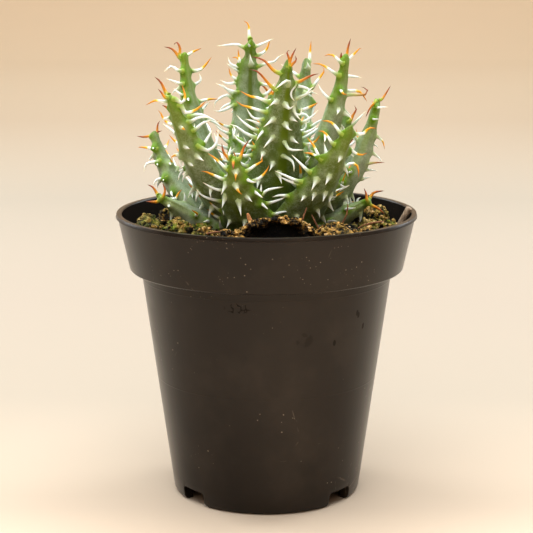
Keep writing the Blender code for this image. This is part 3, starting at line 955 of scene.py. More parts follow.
@dataclass
class Soil:
    """The soil: black peat, crusted clods, crumbs and flecks of moss."""

    pot: Pot
    edge_height: float = 92.0 * MM
    heap: float = 4.5 * MM
    roughness: float = 0.8 * MM
    clearance: float = 0.3 * MM
    sides: int = 180
    ring_step: float = 0.85 * MM
    relief: float = 2.4 * MM
    mid_relief: float = 0.55
    lumpiness: float = 0.20
    loose_crumbs: int = 1250
    crumb_sizes: Pair = (0.28 * MM, 1.15 * MM)
    crumb_border: float = 1.6 * MM
    seed: int = 4
    clods: tuple[Clod, ...] = (
        Clod(3.5, -35.5, 103.6, (12.5, 4.2, 6.5), 4, 0.1, 0.0, 190, 6, True),
        Clod(22.5, -35.5, 101.6, (7.5, 4.5, 5.0), -12, 0.1, 0.05, 170),
        Clod(-12.5, -38.5, 100.0, (5.6, 3.6, 5.4), 10, 0.0, 0.0, 110),
        Clod(-40.5, -10.5, 100.2, (4.6, 6.5, 6.0), 20, 0.75, 0.25, 120),
        Clod(-29.0, -23.5, 101.0, (6.2, 4.0, 6.2), -25, 0.45, 0.6, 150),
        Clod(39.3, -1.0, 101.8, (3.4, 4.5, 6.0), 15, 0.6, 0.2, 80),
        Clod(29.0, 27.0, 99.0, (6.0, 5.0, 4.5), 35, 0.3, 0.2, 60),
        Clod(-24.0, 33.0, 99.0, (7.0, 4.5, 4.5), -30, 0.3, 0.2, 60),
        Clod(-33.5, 3.5, 100.4, (4.6, 3.2, 4.6), 12, 0.25, 0.1, 90, 4),
        Clod(-38.5, -22.0, 98.6, (3.6, 3.2, 3.4), 40, 0.6, 0.2, 70, 4),
        Clod(-26.5, -6.0, 99.6, (3.0, 2.4, 3.6), -15, 0.2, 0.3, 50, 4),
        Clod(-21.0, -29.5, 99.4, (4.4, 2.8, 4.6), 15, 0.25, 0.5, 90, 4),
        Clod(-21.5, -14.0, 98.6, (2.6, 2.2, 3.0), 0, 0.4, 0.7, 40, 4),
        Clod(-8.0, -32.0, 99.4, (3.4, 2.2, 3.2), -20, 0.3, 0.1, 50, 4),
        Clod(33.5, -22.5, 98.4, (3.6, 2.8, 3.0), 30, 0.5, 0.3, 60, 4),
        Clod(35.0, -12.0, 99.2, (3.2, 2.6, 3.4), 10, 0.7, 0.3, 60, 4),
        Clod(43.0, -8.0, 98.0, (2.4, 3.0, 2.8), 0, 0.5, 0.7, 40, 4),
        Clod(34.5, 10.0, 101.0, (4.0, 3.0, 5.0), -10, 0.4, 0.1, 60, 4),
    )

    def surface(self, x: float, y: float) -> float:
        """The smooth surface: a low heap with a few waves.

        Args:
            x: A place across the pot.
            y: And along it.

        Returns:
            The surface's height there.
        """
        radius = math.hypot(x, y) / (self.pot.lip_radius - self.pot.lip_width)
        heap = self.heap * (1 - min(1.0, radius) ** 2)
        u, v = x / MM, y / MM
        lumps = math.sin(0.29 * u + 1.3) * math.cos(0.33 * v - 0.6) + 0.6 * math.sin(0.61 * u - 0.47 * v)
        return self.edge_height + heap + self.roughness * lumps

    def build(self) -> None:
        """Makes the crust of ground and clods, and the crumbs on it."""
        clods = [self._clod(number, clod) for number, clod in enumerate(self.clods)]
        crust = Bench.join([self._ground(), *clods], "soil_crust")
        crumbs = self._crumbs()
        finish = SoilCrust().material()
        for piece in (crust, crumbs):
            Bench.smooth(piece, 60)
            Bench.dress(piece, finish)
        Bench.hand_over(crust, "soil", "soil")
        Bench.hand_over(crumbs, "soil")

    @staticmethod
    def _relief_at(place: Vector) -> float:
        """The crumbled relief.

        Args:
            place: A place on the soil or on a clod.

        Returns:
            0 in a pit and 1 on a crest.
        """
        coarse = noise.noise(place * 300)
        grain = 1 - noise.voronoi(place * 560)[0][0] / 0.62
        fine = noise.noise(place * 1500 + Vector((1, 9, 4)))
        return min(1.0, max(0.0, 0.40 + 0.50 * coarse + 0.34 * grain + 0.20 * fine))

    def _ground(self) -> Piece:
        """Turns the block of soil and crumbles its top.

        Returns:
            The ground.
        """
        pot, gap = self.pot, self.clearance
        ledge = pot.height - pot.collar_depth
        floor = pot.floor_top + gap
        step = ledge + pot.wall + gap
        edge = pot.inner_radius(self.edge_height) - gap
        profile = [
            (pot.inner_radius(floor) - gap, floor),
            (pot.inner_radius(ledge) - gap, step),
            (pot.collar_foot - pot.wall - gap, step),
        ]
        rings = int(edge / self.ring_step)
        profile += [(edge * (rings - i) / rings, self.edge_height) for i in range(rings)]
        ground = Bench.turn("ground", profile, self.sides)
        places = Bench.points(ground)
        relief = np.zeros(len(places))
        for i in np.flatnonzero(places[:, 2] > self.edge_height - 0.01 * MM):
            x, y, _ = places[i]
            relief[i] = self._relief_at(Vector((x, y, 0.0)))
            hold = 1 - float(step_between(math.hypot(x, y), edge - 1.2 * MM, edge))
            places[i, 2] = self.surface(x, y) + (relief[i] - self.mid_relief) * self.relief * hold
        Bench.move_to(ground, places)
        left = step_between(-places[:, 0], 5 * MM, 25 * MM)
        # The relief also colours the ground: paler on crests and darker in pits, partly painted highlight and
        # painted shade.
        Bench.keep(ground, relief=relief * 0.55, olive=0.3 + 0.4 * left, mossy=0.25 + 0.35 * left, hollow=0.0)
        return ground

    def _clod(self, number: int, clod: Clod) -> Piece:
        """Shapes one clod out of a ball: sized, set down, crumbled and, at the front, hollowed, with painted
        light on its upper side and painted shade in its hollow.

        Args:
            number: Its number, which seeds its form.
            clod: Its place and size.

        Returns:
            The clod.
        """
        Bench.clear()
        bpy.ops.mesh.primitive_ico_sphere_add(subdivisions=clod.fineness, radius=1.0, location=(0, 0, 0))
        piece = Bench.settle(f"clod_{number}")
        units = Bench.points(piece)
        Bench.open()
        bpy.ops.transform.resize(value=tuple(size * MM for size in clod.radii), center_override=(0, 0, 0))
        bpy.ops.transform.rotate(value=-math.radians(clod.turn), orient_axis="Z", center_override=(0, 0, 0))
        bpy.ops.transform.translate(value=tuple(clod.centre()))
        bpy.ops.object.mode_set(mode="OBJECT")
        places = np.empty_like(units)
        relief = np.zeros(len(units))
        cave = np.zeros(len(units))
        for i, row in enumerate(units):
            unit = Vector(row)
            relief[i] = self._relief_at(clod.point(unit) + Vector((number * 0.01, 0, 0)))
            lumpy = noise.noise(unit * 2.1 + Vector((number * 3.1, 0, 0)))
            reach = 1 + self.lumpiness * lumpy + self.lumpiness * (relief[i] - self.mid_relief)
            if clod.hollow:
                across = math.hypot(unit.x, unit.z) + 0.10 * noise.noise(unit * 4.3)
                cave[i] = float(step_between(-unit.y, 0.0, 0.25) * step_between(0.92 - across, 0.0, 0.16))
                unit = unit.lerp(Vector((unit.x * 0.85, 0.35, unit.z * 0.85)), cave[i])
            places[i] = clod.point(unit, reach)
        Bench.move_to(piece, places)
        # Paler on crests and on the clod's upper side, partly painted light from above; the hollow's share
        # paints shade in it.
        crest = relief * 0.6 + 0.35 * step_between(units[:, 2], -0.1, 0.9)
        Bench.keep(piece, relief=crest, olive=clod.olive, mossy=clod.mossy, hollow=cave)
        return piece

    def _crumbs(self) -> Piece:
        """Strews crumbs: over the clods, along the lip of the hollow one, and in drifts on the ground.

        Returns:
            The crumbs, in one piece.
        """
        model = self._stone()
        stone = Bench.points(model)
        chance = random.Random(self.seed)
        made = []
        for clod in self.clods:
            for _ in range(clod.crumbs):
                place = clod.point(self._spot_on(clod, chance), chance.uniform(0.97, 1.08))
                light = chance.uniform(0.35, 0.95) if clod.hollow else chance.uniform(0.5, 1.0)
                look = (light, clod.olive * chance.uniform(0.4, 1.5), clod.mossy)
                made.append(self._crumb(model, stone, chance, place, look))
        edge = self.pot.inner_radius(self.edge_height) - self.crumb_border
        clinging = len(made)
        while len(made) < self.loose_crumbs + clinging:
            place = on_azimuth(chance.uniform(0, 360), edge * math.sqrt(chance.uniform(0.06, 1.0)))
            drift = noise.noise(place * 170 + Vector((5, 2, 0)))
            if drift < chance.uniform(-0.45, 0.35):
                continue
            place.z = self.surface(place.x, place.y) + chance.uniform(-0.2, 0.9) * MM
            left = float(step_between(-place.x, -5 * MM, 20 * MM))
            look = (chance.uniform(0.2, 0.95), chance.uniform(0, 0.7 + 0.3 * left), 0.15 + 0.55 * left)
            made.append(self._crumb(model, stone, chance, place, look))
        Bench.drop(model)
        return Bench.join(made, "soil_crumbs")

    @staticmethod
    def _stone() -> Piece:
        """Rounds a cube into the stone that every crumb starts from.

        Returns:
            The model, of two dozen faces.
        """
        Bench.clear()
        bpy.ops.mesh.primitive_cube_add(size=1.0, location=(0, 0, 0))
        model = Bench.settle("crumb_model")
        Bench.open()
        bpy.ops.mesh.subdivide(number_cuts=1)
        bpy.ops.transform.tosphere(value=0.85)
        bpy.ops.object.mode_set(mode="OBJECT")
        places = Bench.points(model)
        Bench.move_to(model, places / np.linalg.norm(places, axis=1).max())
        return model

    @staticmethod
    def _spot_on(clod: Clod, chance: random.Random) -> Vector:
        """Where a crumb clings to a clod: along the lip of a hollow one, else on its upper side.

        Args:
            clod: The clod.
            chance: What draws the place.

        Returns:
            The place, as a unit ball's point.
        """
        if clod.hollow:
            round_lip = math.radians(chance.uniform(-6, 186))
            depth = chance.uniform(-0.42, 0.25)
            ring = math.sqrt(1 - depth**2)
            return Vector((math.cos(round_lip) * ring, depth, math.sin(round_lip) * ring))
        turn = chance.uniform(0, 2 * math.pi)
        rise = chance.uniform(-0.15, 1.0)
        ring = math.sqrt(1 - rise**2)
        return Vector((math.cos(turn) * ring, math.sin(turn) * ring, rise))

    def _crumb(
        self,
        model: Piece,
        stone: np.ndarray,
        chance: random.Random,
        place: Vector,
        look: Triple,
    ) -> Piece:
        """Sets down one crumb.

        Args:
            model: The stone.
            stone: The stone's points.
            chance: What draws its size and form.
            place: Its middle.
            look: Its relief, how olive it is and how mossy.

        Returns:
            The crumb, a rough stone with a mesh of its own.
        """
        low, high = self.crumb_sizes
        size = low + (high - low) * chance.random() ** 3
        stretch = np.array([chance.uniform(0.7, 1.35), chance.uniform(0.7, 1.35), chance.uniform(0.6, 1.05)])
        bumps = np.array([chance.uniform(0.72, 1.18) for _ in stone])
        crumb = Bench.copy(model, "crumb")
        Bench.move_to(crumb, stone * bumps[:, None] * stretch * size + np.array(place))
        relief, olive, mossy = look
        # A crumb is painted a little lighter on its upper side: painted light from above.
        Bench.keep(crumb, relief=relief * (0.85 + 0.15 * stone[:, 2]), olive=olive, mossy=mossy, hollow=0.0)
        return crumb


# ---- The plant ----


class Tint(Enum):
    """How a tooth is coloured: the share of its length where the orange starts, and how dark its tip is."""

    WHITE = (1.3, 0.0)
    TIPPED = (0.50, 0.74)
    AMBER = (-0.12, 1.0)


@dataclass(frozen=True)
class Tooth:
    """One tooth: its seat on the leaf, its colour, and the points that it bends through.

    Each bend is (sideways, towards the leaf's tip, out of the leaf's back) from the seat, in millimetres.
    """

    share: float
    angle: float
    tint: Tint
    bends: tuple[Triple, ...]

    @classmethod
    def seen(cls, share: int, angle: int, tint: Tint, *numbers: int) -> "Tooth":
        """The tooth of one row of FRONT_TEETH."""
        lengths = [number / 10 for number in numbers]
        return cls(share / 100, angle, tint, tuple(zip(lengths[::3], lengths[1::3], lengths[2::3])))


@dataclass(frozen=True)
class Leaf:
    """One leaf. Angles are in degrees and lengths in millimetres.

    It leaves the stem at foot_radius and foot_height on its azimuth, rising at lean_start above the horizon,
    and ends rising at lean_end. sway turns its heading sideways along its length. keel, ripeness and bloom
    say how much it shows of its green stripe, its green tip and its grey wax. knobs says how far it swells
    under its teeth, and stout how thick they are.
    """

    name: str
    azimuth: float
    foot_radius: float
    foot_height: float
    length: float
    lean_start: float
    lean_end: float
    sway: float = 0.0
    width: float = 20.0
    thickness: float = 7.0
    keel: float = 0.5
    ripeness: float = 0.3
    bloom: float = 0.5
    knobs: float = 0.55
    stout: float = 1.0


LEAVES = (
    Leaf("leaf_low_right", 77, 8.5, 91.5, 31.5, 22, 32, 0, 20, 7, 0.1, 0.35, 0.7, 0.8),
    Leaf("leaf_low_back_left", -140, 8.5, 91.5, 38, 26, 52, 0, 18, 6.5),
    Leaf("leaf_low_front", -18, 8.5, 91, 42, 36, 68, 0, 22, 7, 0.45, 0.9, 0.08, 0.7),
    Leaf("leaf_low_back_right", 133, 8.5, 92, 41, 28, 60, 0, 18, 6.5),
    Leaf("leaf_low_left", -70, 8.5, 91.5, 34.5, 24, 32, 0, 20, 7, 0.0, 0.4, 0.95, 0.5),
    Leaf("leaf_front_right", 37, 8.5, 92.5, 54.5, 43, 56, 5, 22, 7.5, 0.25, 0.55, 0.2, 1.0),
    Leaf("leaf_low_back", -176, 8.5, 92.5, 44, 32, 70, 0, 19, 7),
    Leaf("leaf_front_left", -49, 8, 94, 60, 45, 66, 0, 22, 7.5, 0.3, 0.70, 0.36, 0.9),
    Leaf("leaf_right", 87, 8, 94, 56, 32, 82, 0, 18, 7, 0.3, 0.5, 0.65, 1.0, 0.75),
    Leaf("leaf_left", -97, 8, 93, 49, 17, 78, -5, 22, 7.5, 0.0, 0.15, 0.75, 0.85),
    Leaf("leaf_tall_front", 14, 7.5, 97, 61, 72, 70, 3, 23, 7.5, 1.0, 0.25, 0.2, 0.45),
    Leaf("leaf_back_right", 111, 7.5, 96, 45, 34, 84, 0, 18, 7, 0.5, 0.1),
    Leaf("leaf_tall_left", -107, 7.5, 98, 62, 48, 89, -3, 19, 7, 0.4, 0.95, 0.6, 1.0),
    Leaf("leaf_tall_right", 74, 7.5, 99, 60, 61, 79, 0, 19, 7, 0.4, 0.70, 0.65, 1.0),
    Leaf("leaf_tall_back", -157, 6, 101, 60, 57, 108, -4, 18.5, 7, 0.7, 0.3, 0.75, 0.6),
    Leaf("leaf_back", 176, 6, 100, 42, 52, 84, 0, 17, 6.5),
    Leaf("leaf_tall_back_right", 145, 5.5, 103, 53, 52, 85, 0, 15, 6.5, 0.4, 0.1, 0.85, 0.6),
    Leaf("leaf_young_right", 62, 4, 106, 30, 64, 86, 0, 12, 5.5, 0.5, 0.5, 0.6),
    Leaf("leaf_young_left", -76, 4, 107, 20, 62, 88, 0, 10, 5, 0.5, 0.1, 0.6),
    Leaf("leaf_young_back", 162, 3, 109, 22, 66, 90, 0, 9, 4.5, 0.5, 0.5),
    Leaf("leaf_heart", 20, 2, 111, 15, 76, 92, 0, 7, 4, 0.5, 0.1),
)

WHITE, TIPPED, AMBER = Tint

# The teeth that face the front, as they stand there: share in hundredths, angle and tint, and then the three
# numbers of each bend in turn, in tenths of a millimetre. The rest grow by rule.
FRONT_TEETH = {
    "leaf_low_right": (
        (98, 0, AMBER, 7, 21, -9, 12, 38, -4, 17, 55, 4), (97, 180, AMBER, 4, 9, -21, 6, 12, -42),
        (97, 90, AMBER, 3, 15, 22, 5, 25, 54), (82, 345, WHITE, 3, 8, -9, 7, 20, -10),
        (74, 345, WHITE, 4, 8, -27, 9, 18, -50), (74, 200, WHITE, -14, 22, 6, -11, 36, 11),
        (63, 345, WHITE, 5, 10, -22, 9, 20, -40),
    ),
    "leaf_low_front": (
        (100, 180, WHITE, 2, 13, -10, 4, 25, -19), (98, 0, AMBER, 9, 26, -22, 27, 49, -44),
        (97, 180, AMBER, -19, 21, -7, -27, 47, -22), (97, 85, AMBER, 8, -8, 29),
        (89, 75, TIPPED, 6, -1, 23, 7, -11, 33), (89, 165, TIPPED, -19, 17, -6, -41, 36, -11, -63, 50, -14),
        (86, 345, TIPPED, 26, 12, -20, 42, 17, -31, 42, 34, -44), (81, 25, WHITE, 20, 3, 14, 36, 1, 12),
        (78, 85, TIPPED, 15, -3, 23, 28, -12, 28), (77, 180, TIPPED, -41, 21, -1, -58, 29, -1, -76, 34, 2),
        (76, 345, TIPPED, 21, 5, -14, 39, 20, -34, 45, 32, -48), (76, 145, WHITE, -6, -10, 40),
        (69, 20, WHITE, 31, -4, 21), (67, 55, WHITE, 22, 1, 20), (66, 180, WHITE, -26, 9, 3, -63, 30, -2),
        (65, 345, WHITE, 1, 17, -18), (64, 140, WHITE, -1, -8, 40), (64, 85, WHITE, 16, -18, 43),
        (62, 345, WHITE, 18, 7, -16, 64, 5, -35), (57, 20, WHITE, 24, 0, 20),
        (54, 180, WHITE, -37, 13, 3, -63, 27, 0, -81, 44, -12), (52, 345, WHITE, 28, 0, -14, 55, 3, -30),
        (42, 0, WHITE, 23, -1, -11, 48, -5, -18),
    ),
    "leaf_low_left": (
        (100, 180, AMBER, -7, 18, -11, -13, 30, -14, -18, 44, -11), (98, 90, AMBER, -7, 17, 11, -14, 33, 19),
        (97, 0, AMBER, -2, 6, -25, -10, 24, -42), (88, 35, WHITE, 20, 5, 3),
        (85, 195, TIPPED, 7, -16, -14, 6, -15, -31, 8, -19, -52), (68, 195, WHITE, -3, 6, -15),
        (61, 195, WHITE, -2, 5, -19, -4, 7, -37),
    ),
    "leaf_front_right": (
        (94, 195, TIPPED, -7, 9, -20, -19, 14, -42, -40, 5, -60),
        (94, 15, TIPPED, 20, 11, 14, 36, 31, 11, 55, 40, 26),
        (86, 195, TIPPED, -9, 12, -27, -17, 15, -42, -30, 9, -52),
        (82, 15, TIPPED, 10, -2, 17, 24, 1, 31, 39, 13, 37), (80, 110, WHITE, -21, -2, 17),
        (79, 15, WHITE, 9, -3, 17), (74, 195, TIPPED, -9, 20, -38, -23, 30, -71),
        (74, 195, TIPPED, -18, -1, -23, -38, -10, -39),
        (66, 15, TIPPED, 15, 19, -6, 30, 24, 9, 33, 14, 26, 30, -1, 43), (66, 15, WHITE, 6, -5, 15),
        (66, 115, WHITE, -26, -10, 23), (63, 195, WHITE, -15, 6, -29, -35, 14, -67),
        (61, 145, WHITE, -29, -15, 25), (54, 195, WHITE, -13, -3, -13, -34, -6, -38, -57, -10, -65),
        (54, 100, WHITE, -22, -8, 25), (52, 195, WHITE, -19, -6, -19, -33, -8, -36, -45, -12, -46),
        (52, 15, WHITE, 16, 2, 19), (52, 125, WHITE, -22, -5, 22), (51, 75, WHITE, -21, -5, 24),
        (48, 145, WHITE, -23, -1, 15), (41, 195, WHITE, -18, -9, -11, -35, -22, -17),
    ),
    "leaf_front_left": (
        (100, 180, AMBER, -14, 30, -6, -22, 44, -7, -35, 61, -2), (100, 90, AMBER, -10, 17, 0, -20, 32, 1),
        (97, 345, TIPPED, 15, -15, -8, 18, -1, -26, 5, 35, -39),
        (96, 165, TIPPED, -13, 7, 14, -28, 16, 27, -46, 13, 56),
        (93, 345, TIPPED, 14, -24, 1, 36, -26, -29, 52, -12, -67), (92, 165, AMBER, -7, 8, 3, -14, 14, 8),
        (86, 165, TIPPED, -14, 4, 18, -20, 19, 12, -30, 34, 13), (83, 345, WHITE, 18, 1, -28, 40, -12, -50),
        (82, 45, TIPPED, 25, -3, 7), (78, 345, WHITE, 12, 8, -27, 30, 5, -53), (71, 65, WHITE, 26, -1, 4),
        (69, 15, WHITE, 19, -19, -10, 31, -16, -33, 35, -4, -52, 30, 24, -76),
        (69, 345, WHITE, 5, 11, -20, 10, 23, -43), (66, 105, TIPPED, -12, 7, 13, -19, 7, 23, -16, -3, 29),
        (66, 105, WHITE, -11, 8, 10, -21, 10, 24), (64, 40, WHITE, 31, -9, 5),
        (64, 105, WHITE, 0, -11, 13, 7, -30, 23), (61, 75, WHITE, 25, -1, 7), (53, 290, WHITE, 22, 0, 10),
        (52, 165, WHITE, -5, -2, 12, -13, 1, 22), (51, 165, WHITE, -9, -5, 22, -11, -19, 43),
    ),
    "leaf_right": (
        (100, 90, AMBER, 6, 27, 13, 11, 50, 23), (98, 180, AMBER, -5, -24, -15, -12, -56, -24),
        (95, 165, WHITE, 1, 5, 20, 3, 10, 40), (88, 165, WHITE, 1, 5, 16),
        (78, 90, TIPPED, -2, -9, 24, -8, -33, 39), (68, 90, WHITE, -3, -7, 32, -6, -22, 39),
        (62, 105, AMBER, 2, 15, 23, 4, 28, 49), (58, 90, WHITE, 1, 8, 17, 1, 14, 37),
        (52, 90, WHITE, 1, 10, 8, 3, 25, 26),
    ),
    "leaf_left": (
        (97, 90, AMBER, 5, 2, 21, 9, 10, 43), (97, 180, AMBER, -7, 32, -9, -12, 43, -20),
        (97, 90, AMBER, -7, 7, -22, -13, 8, -45), (89, 20, WHITE, 21, -4, -4),
        (88, 15, TIPPED, 4, 12, 23, 7, 19, 37, 10, 24, 52), (79, 15, WHITE, 6, 9, 28, 11, 6, 44, 16, -13, 55),
        (78, 20, WHITE, 21, -6, -3), (74, 310, WHITE, 19, -6, -9), (73, 290, TIPPED, 17, 20, -8),
        (68, 270, WHITE, 19, -6, 10, 34, -13, 22, 39, -34, 32),
        (67, 15, WHITE, 4, 7, 18, 8, 7, 32, 12, -5, 45), (67, 20, WHITE, 21, -7, -2),
        (65, 270, WHITE, 16, 14, -17), (56, 20, WHITE, 21, -14, -2), (46, 310, WHITE, 22, -14, 2),
    ),
    "leaf_tall_front": (
        (97, 90, AMBER, 1, 16, -10, -4, 34, -22, -6, 42, -29, 4, 47, -28),
        (97, 90, AMBER, 2, 15, -9, 11, 35, -18, 25, 56, -27),
        (97, 90, AMBER, 12, 12, -3, 22, 21, -6, 19, 34, -15),
        (92, 180, AMBER, -18, 6, -10, -43, 29, -34, -66, 36, -45, -86, 36, -52),
        (87, 90, WHITE, 2, 13, 5, -13, 20, 9, -51, -2, 22), (86, 0, AMBER, 18, 7, 1, 49, 25, 2, 75, 33, 5),
        (86, 30, WHITE, -14, -17, 6, -16, -34, 16, -6, -47, 27), (84, 0, WHITE, 28, -1, 10, 57, -13, 27),
        (83, 165, AMBER, -17, 13, -14, -49, 44, -44, -77, 49, -56),
        (78, 45, WHITE, 18, 11, -1, 35, 18, 1, 47, 33, -5, 63, 43, -5),
        (77, 135, WHITE, -16, 2, 14, -29, -7, 19), (76, 345, WHITE, 19, 9, 1, 39, 20, 1, 55, 30, 0),
        (76, 95, WHITE, 6, -1, 25, 20, 11, 25), (76, 60, WHITE, 1, -18, 11, 9, -34, 24, 22, -44, 35),
        (75, 180, TIPPED, -34, 9, -17, -59, 11, -26, -91, 24, -45),
        (74, 60, WHITE, 2, -17, 11, 21, -18, 18, 24, 2, 7),
        (69, 180, TIPPED, -44, 9, -20, -72, 13, -32, -90, 24, -45), (68, 70, WHITE, 12, 1, 28),
        (67, 130, WHITE, -19, -3, 16, -38, -15, 22), (65, 90, WHITE, 2, -3, 25, 15, -5, 33),
        (64, 195, WHITE, -25, 1, -9, -37, 12, -20, -47, 28, -33), (61, 195, WHITE, -25, 8, -13, -47, 11, -22),
        (59, 155, WHITE, -18, -6, 21, -27, -19, 28),
        (57, 195, WHITE, -26, 10, -15, -48, 24, -30, -66, 41, -46),
        (57, 120, WHITE, -20, -6, 20, -38, -23, 28), (56, 70, WHITE, 16, -1, 31),
        (55, 90, WHITE, 6, -7, 38, 25, -2, 55, 51, 0, 61),
        (53, 195, WHITE, -36, 12, -19, -55, 25, -33, -81, 32, -45),
        (48, 180, WHITE, -28, 8, -13, -50, 21, -28, -60, 35, -40),
        (47, 135, WHITE, -10, -1, 20, -16, -11, 26), (47, 90, WHITE, 13, 2, 28, 21, -3, 48, 22, -28, 64),
        (43, 180, WHITE, -23, -2, -6, -43, 2, -15, -60, -8, -14), (42, 110, WHITE, -10, -3, 20, -18, -14, 27),
        (36, 95, WHITE, 1, -18, 36),
    ),
    "leaf_back_right": (
        (94, 150, AMBER, 1, 24, 8, 0, 41, 16, 5, 55, 8), (90, 120, WHITE, -4, 24, 17, -9, 62, 42),
    ),
    "leaf_tall_left": (
        (98, 90, AMBER, -5, 24, -1, -6, 42, 6, -5, 47, 14, 0, 37, 20),
        (98, 180, TIPPED, -10, 13, -21, -22, 23, -46), (97, 90, AMBER, 2, 24, 18, 5, 34, 32, 11, 39, 53),
        (90, 15, WHITE, 4, 6, 14, 7, 19, 28, 20, 1, 54),
        (89, 195, TIPPED, -8, 0, -23, -16, 9, -39, -33, 42, -67), (83, 15, WHITE, 7, 12, 22, 13, 24, 45),
        (81, 195, WHITE, -10, 13, -21, -13, 39, -17), (77, 15, WHITE, 2, 14, 12, 5, 27, 23),
        (74, 340, WHITE, 19, -6, -9), (71, 195, TIPPED, -13, 1, -32, -24, -6, -64),
        (66, 195, WHITE, -8, 13, -16, -15, 21, -31),
        (64, 345, WHITE, -12, 0, -30, -19, -17, -55, -25, -33, -73, -30, -47, -91),
        (61, 195, WHITE, -9, -28, -30, -13, -57, -48),
    ),
    "leaf_tall_right": (
        (98, 0, AMBER, 7, 30, -3, 16, 62, -2), (97, 250, AMBER, -16, 21, 0),
        (96, 15, TIPPED, 13, 32, 20, 20, 47, 29, 21, 46, 36),
        (95, 195, TIPPED, -2, 17, -27, -6, 17, -46, -11, 9, -58),
        (88, 195, TIPPED, -5, 13, -35, -8, 21, -62, -16, 16, -89), (87, 15, WHITE, 7, 4, 25, 14, 6, 52),
        (80, 150, TIPPED, -18, -5, 14, -17, -4, 27), (78, 15, TIPPED, 13, 13, 43, 16, 4, 67, 15, -14, 86),
        (78, 90, AMBER, 17, 16, 57, 22, 33, 56, 18, 36, 35), (74, 195, WHITE, -2, 16, -29, 0, 37, -51),
        (69, 135, WHITE, -22, -6, 5, -25, -14, 3), (54, 160, WHITE, -25, -16, 10),
    ),
    "leaf_tall_back": (
        (100, 90, TIPPED, 0, 22, 13, 0, 40, 23, 16, 50, 35), (97, 300, WHITE, 9, 14, -13),
        (96, 195, WHITE, -23, 11, -3, -62, 31, -7), (95, 15, WHITE, 22, 7, 12, 56, 2, 22, 89, -4, 32),
        (86, 270, WHITE, 6, 23, -9, 8, 38, -4), (86, 15, TIPPED, 3, 21, 11, 4, 43, 20),
        (85, 15, TIPPED, 5, 18, 9, 13, 21, 14, 25, 18, 17),
        (84, 195, WHITE, -33, 13, -7, -52, 17, -13, -71, 37, -12, -89, 46, -15),
        (83, 15, WHITE, 27, 10, 14, 35, 35, 27), (81, 15, WHITE, 20, 11, 12, 38, 24, 23),
        (76, 15, TIPPED, 16, 13, 10, 22, 38, 21), (74, 15, WHITE, 27, -4, 9, 51, 8, 21),
        (73, 180, WHITE, -29, -6, -13, -52, -22, -26), (69, 345, WHITE, 27, 10, 13, 44, 27, 23),
        (67, 15, WHITE, 23, 23, 14, 54, 39, 29),
        (65, 15, WHITE, 17, 11, 9, 36, 3, 14, 56, -12, 18, 64, -36, 16),
        (62, 15, WHITE, 25, -9, 7, 46, -30, 11), (61, 345, WHITE, 23, -12, 6, 47, -20, 14, 66, -15, 22),
    ),
    "leaf_tall_back_right": (
        (98, 90, TIPPED, 2, 28, 3, 4, 73, 9), (94, 220, WHITE, -7, 18, -18),
        (81, 165, TIPPED, -3, 8, 2, -23, 53, 19, -27, 65, 21, -19, 76, 17),
        (80, 300, WHITE, -16, 0, 11, -29, -8, 19, -47, -13, 31, -64, -18, 43),
        (76, 225, WHITE, -8, -4, 5, -19, -10, 13), (72, 150, TIPPED, 10, -4, -7, 29, -8, -20, 47, -14, -32),
        (70, 150, WHITE, 1, -29, 0, 5, -56, -3),
    ),
    "leaf_young_right": (
        (95, 345, WHITE, 9, 10, 12, 16, 3, 30, 15, -14, 36, 5, -22, 22),
        (88, 165, WHITE, -1, -16, 8, 6, -19, 23, 15, -9, 36, 22, 17, 33),
        (68, 15, WHITE, 20, 27, 24, 39, 54, 45, 50, 70, 56),
    ),
}


@dataclass(frozen=True)
class LeafForm:
    """The outline and thickness that all leaves share, at places that are shares back from the tip."""

    widest_at: float = 0.8
    taper_power: float = 1.28
    foot_narrowing: float = 0.35
    thickest_at: float = 0.6
    thickness_power: float = 1.6
    outer_share: float = 0.64
    keel_rise: float = 0.14
    keel_spread: float = 24.0
    tip_half_width: float = 1.4 * MM
    tip_half_thickness: float = 1.2 * MM
    curve_steps: int = 48

    def half_width(self, leaf: Leaf, share: np.ndarray) -> np.ndarray:
        """The leaf's outline.

        Args:
            leaf: The leaf.
            share: Where, along the leaf.

        Returns:
            Half of its width at each share.
        """
        back = 1 - share
        taper = 1 - np.clip(1 - back / self.widest_at, 0, 1) ** self.taper_power
        foot = 1 - self.foot_narrowing * (np.clip(back - self.widest_at, 0, 1) / (1 - self.widest_at)) ** 2
        form = np.where(back < self.widest_at, taper, foot)
        return np.hypot(self.tip_half_width, 0.5 * leaf.width * MM * form)

    def thickness(self, leaf: Leaf, share: np.ndarray) -> np.ndarray:
        """The leaf's thickness.

        Args:
            leaf: The leaf.
            share: Where, along the leaf.

        Returns:
            The whole of it at each share.
        """
        back = np.clip((1 - share) / self.thickest_at, 0, 1)
        form = 1 - (1 - back) ** self.thickness_power
        return np.hypot(2 * self.tip_half_thickness, leaf.thickness * MM * form)


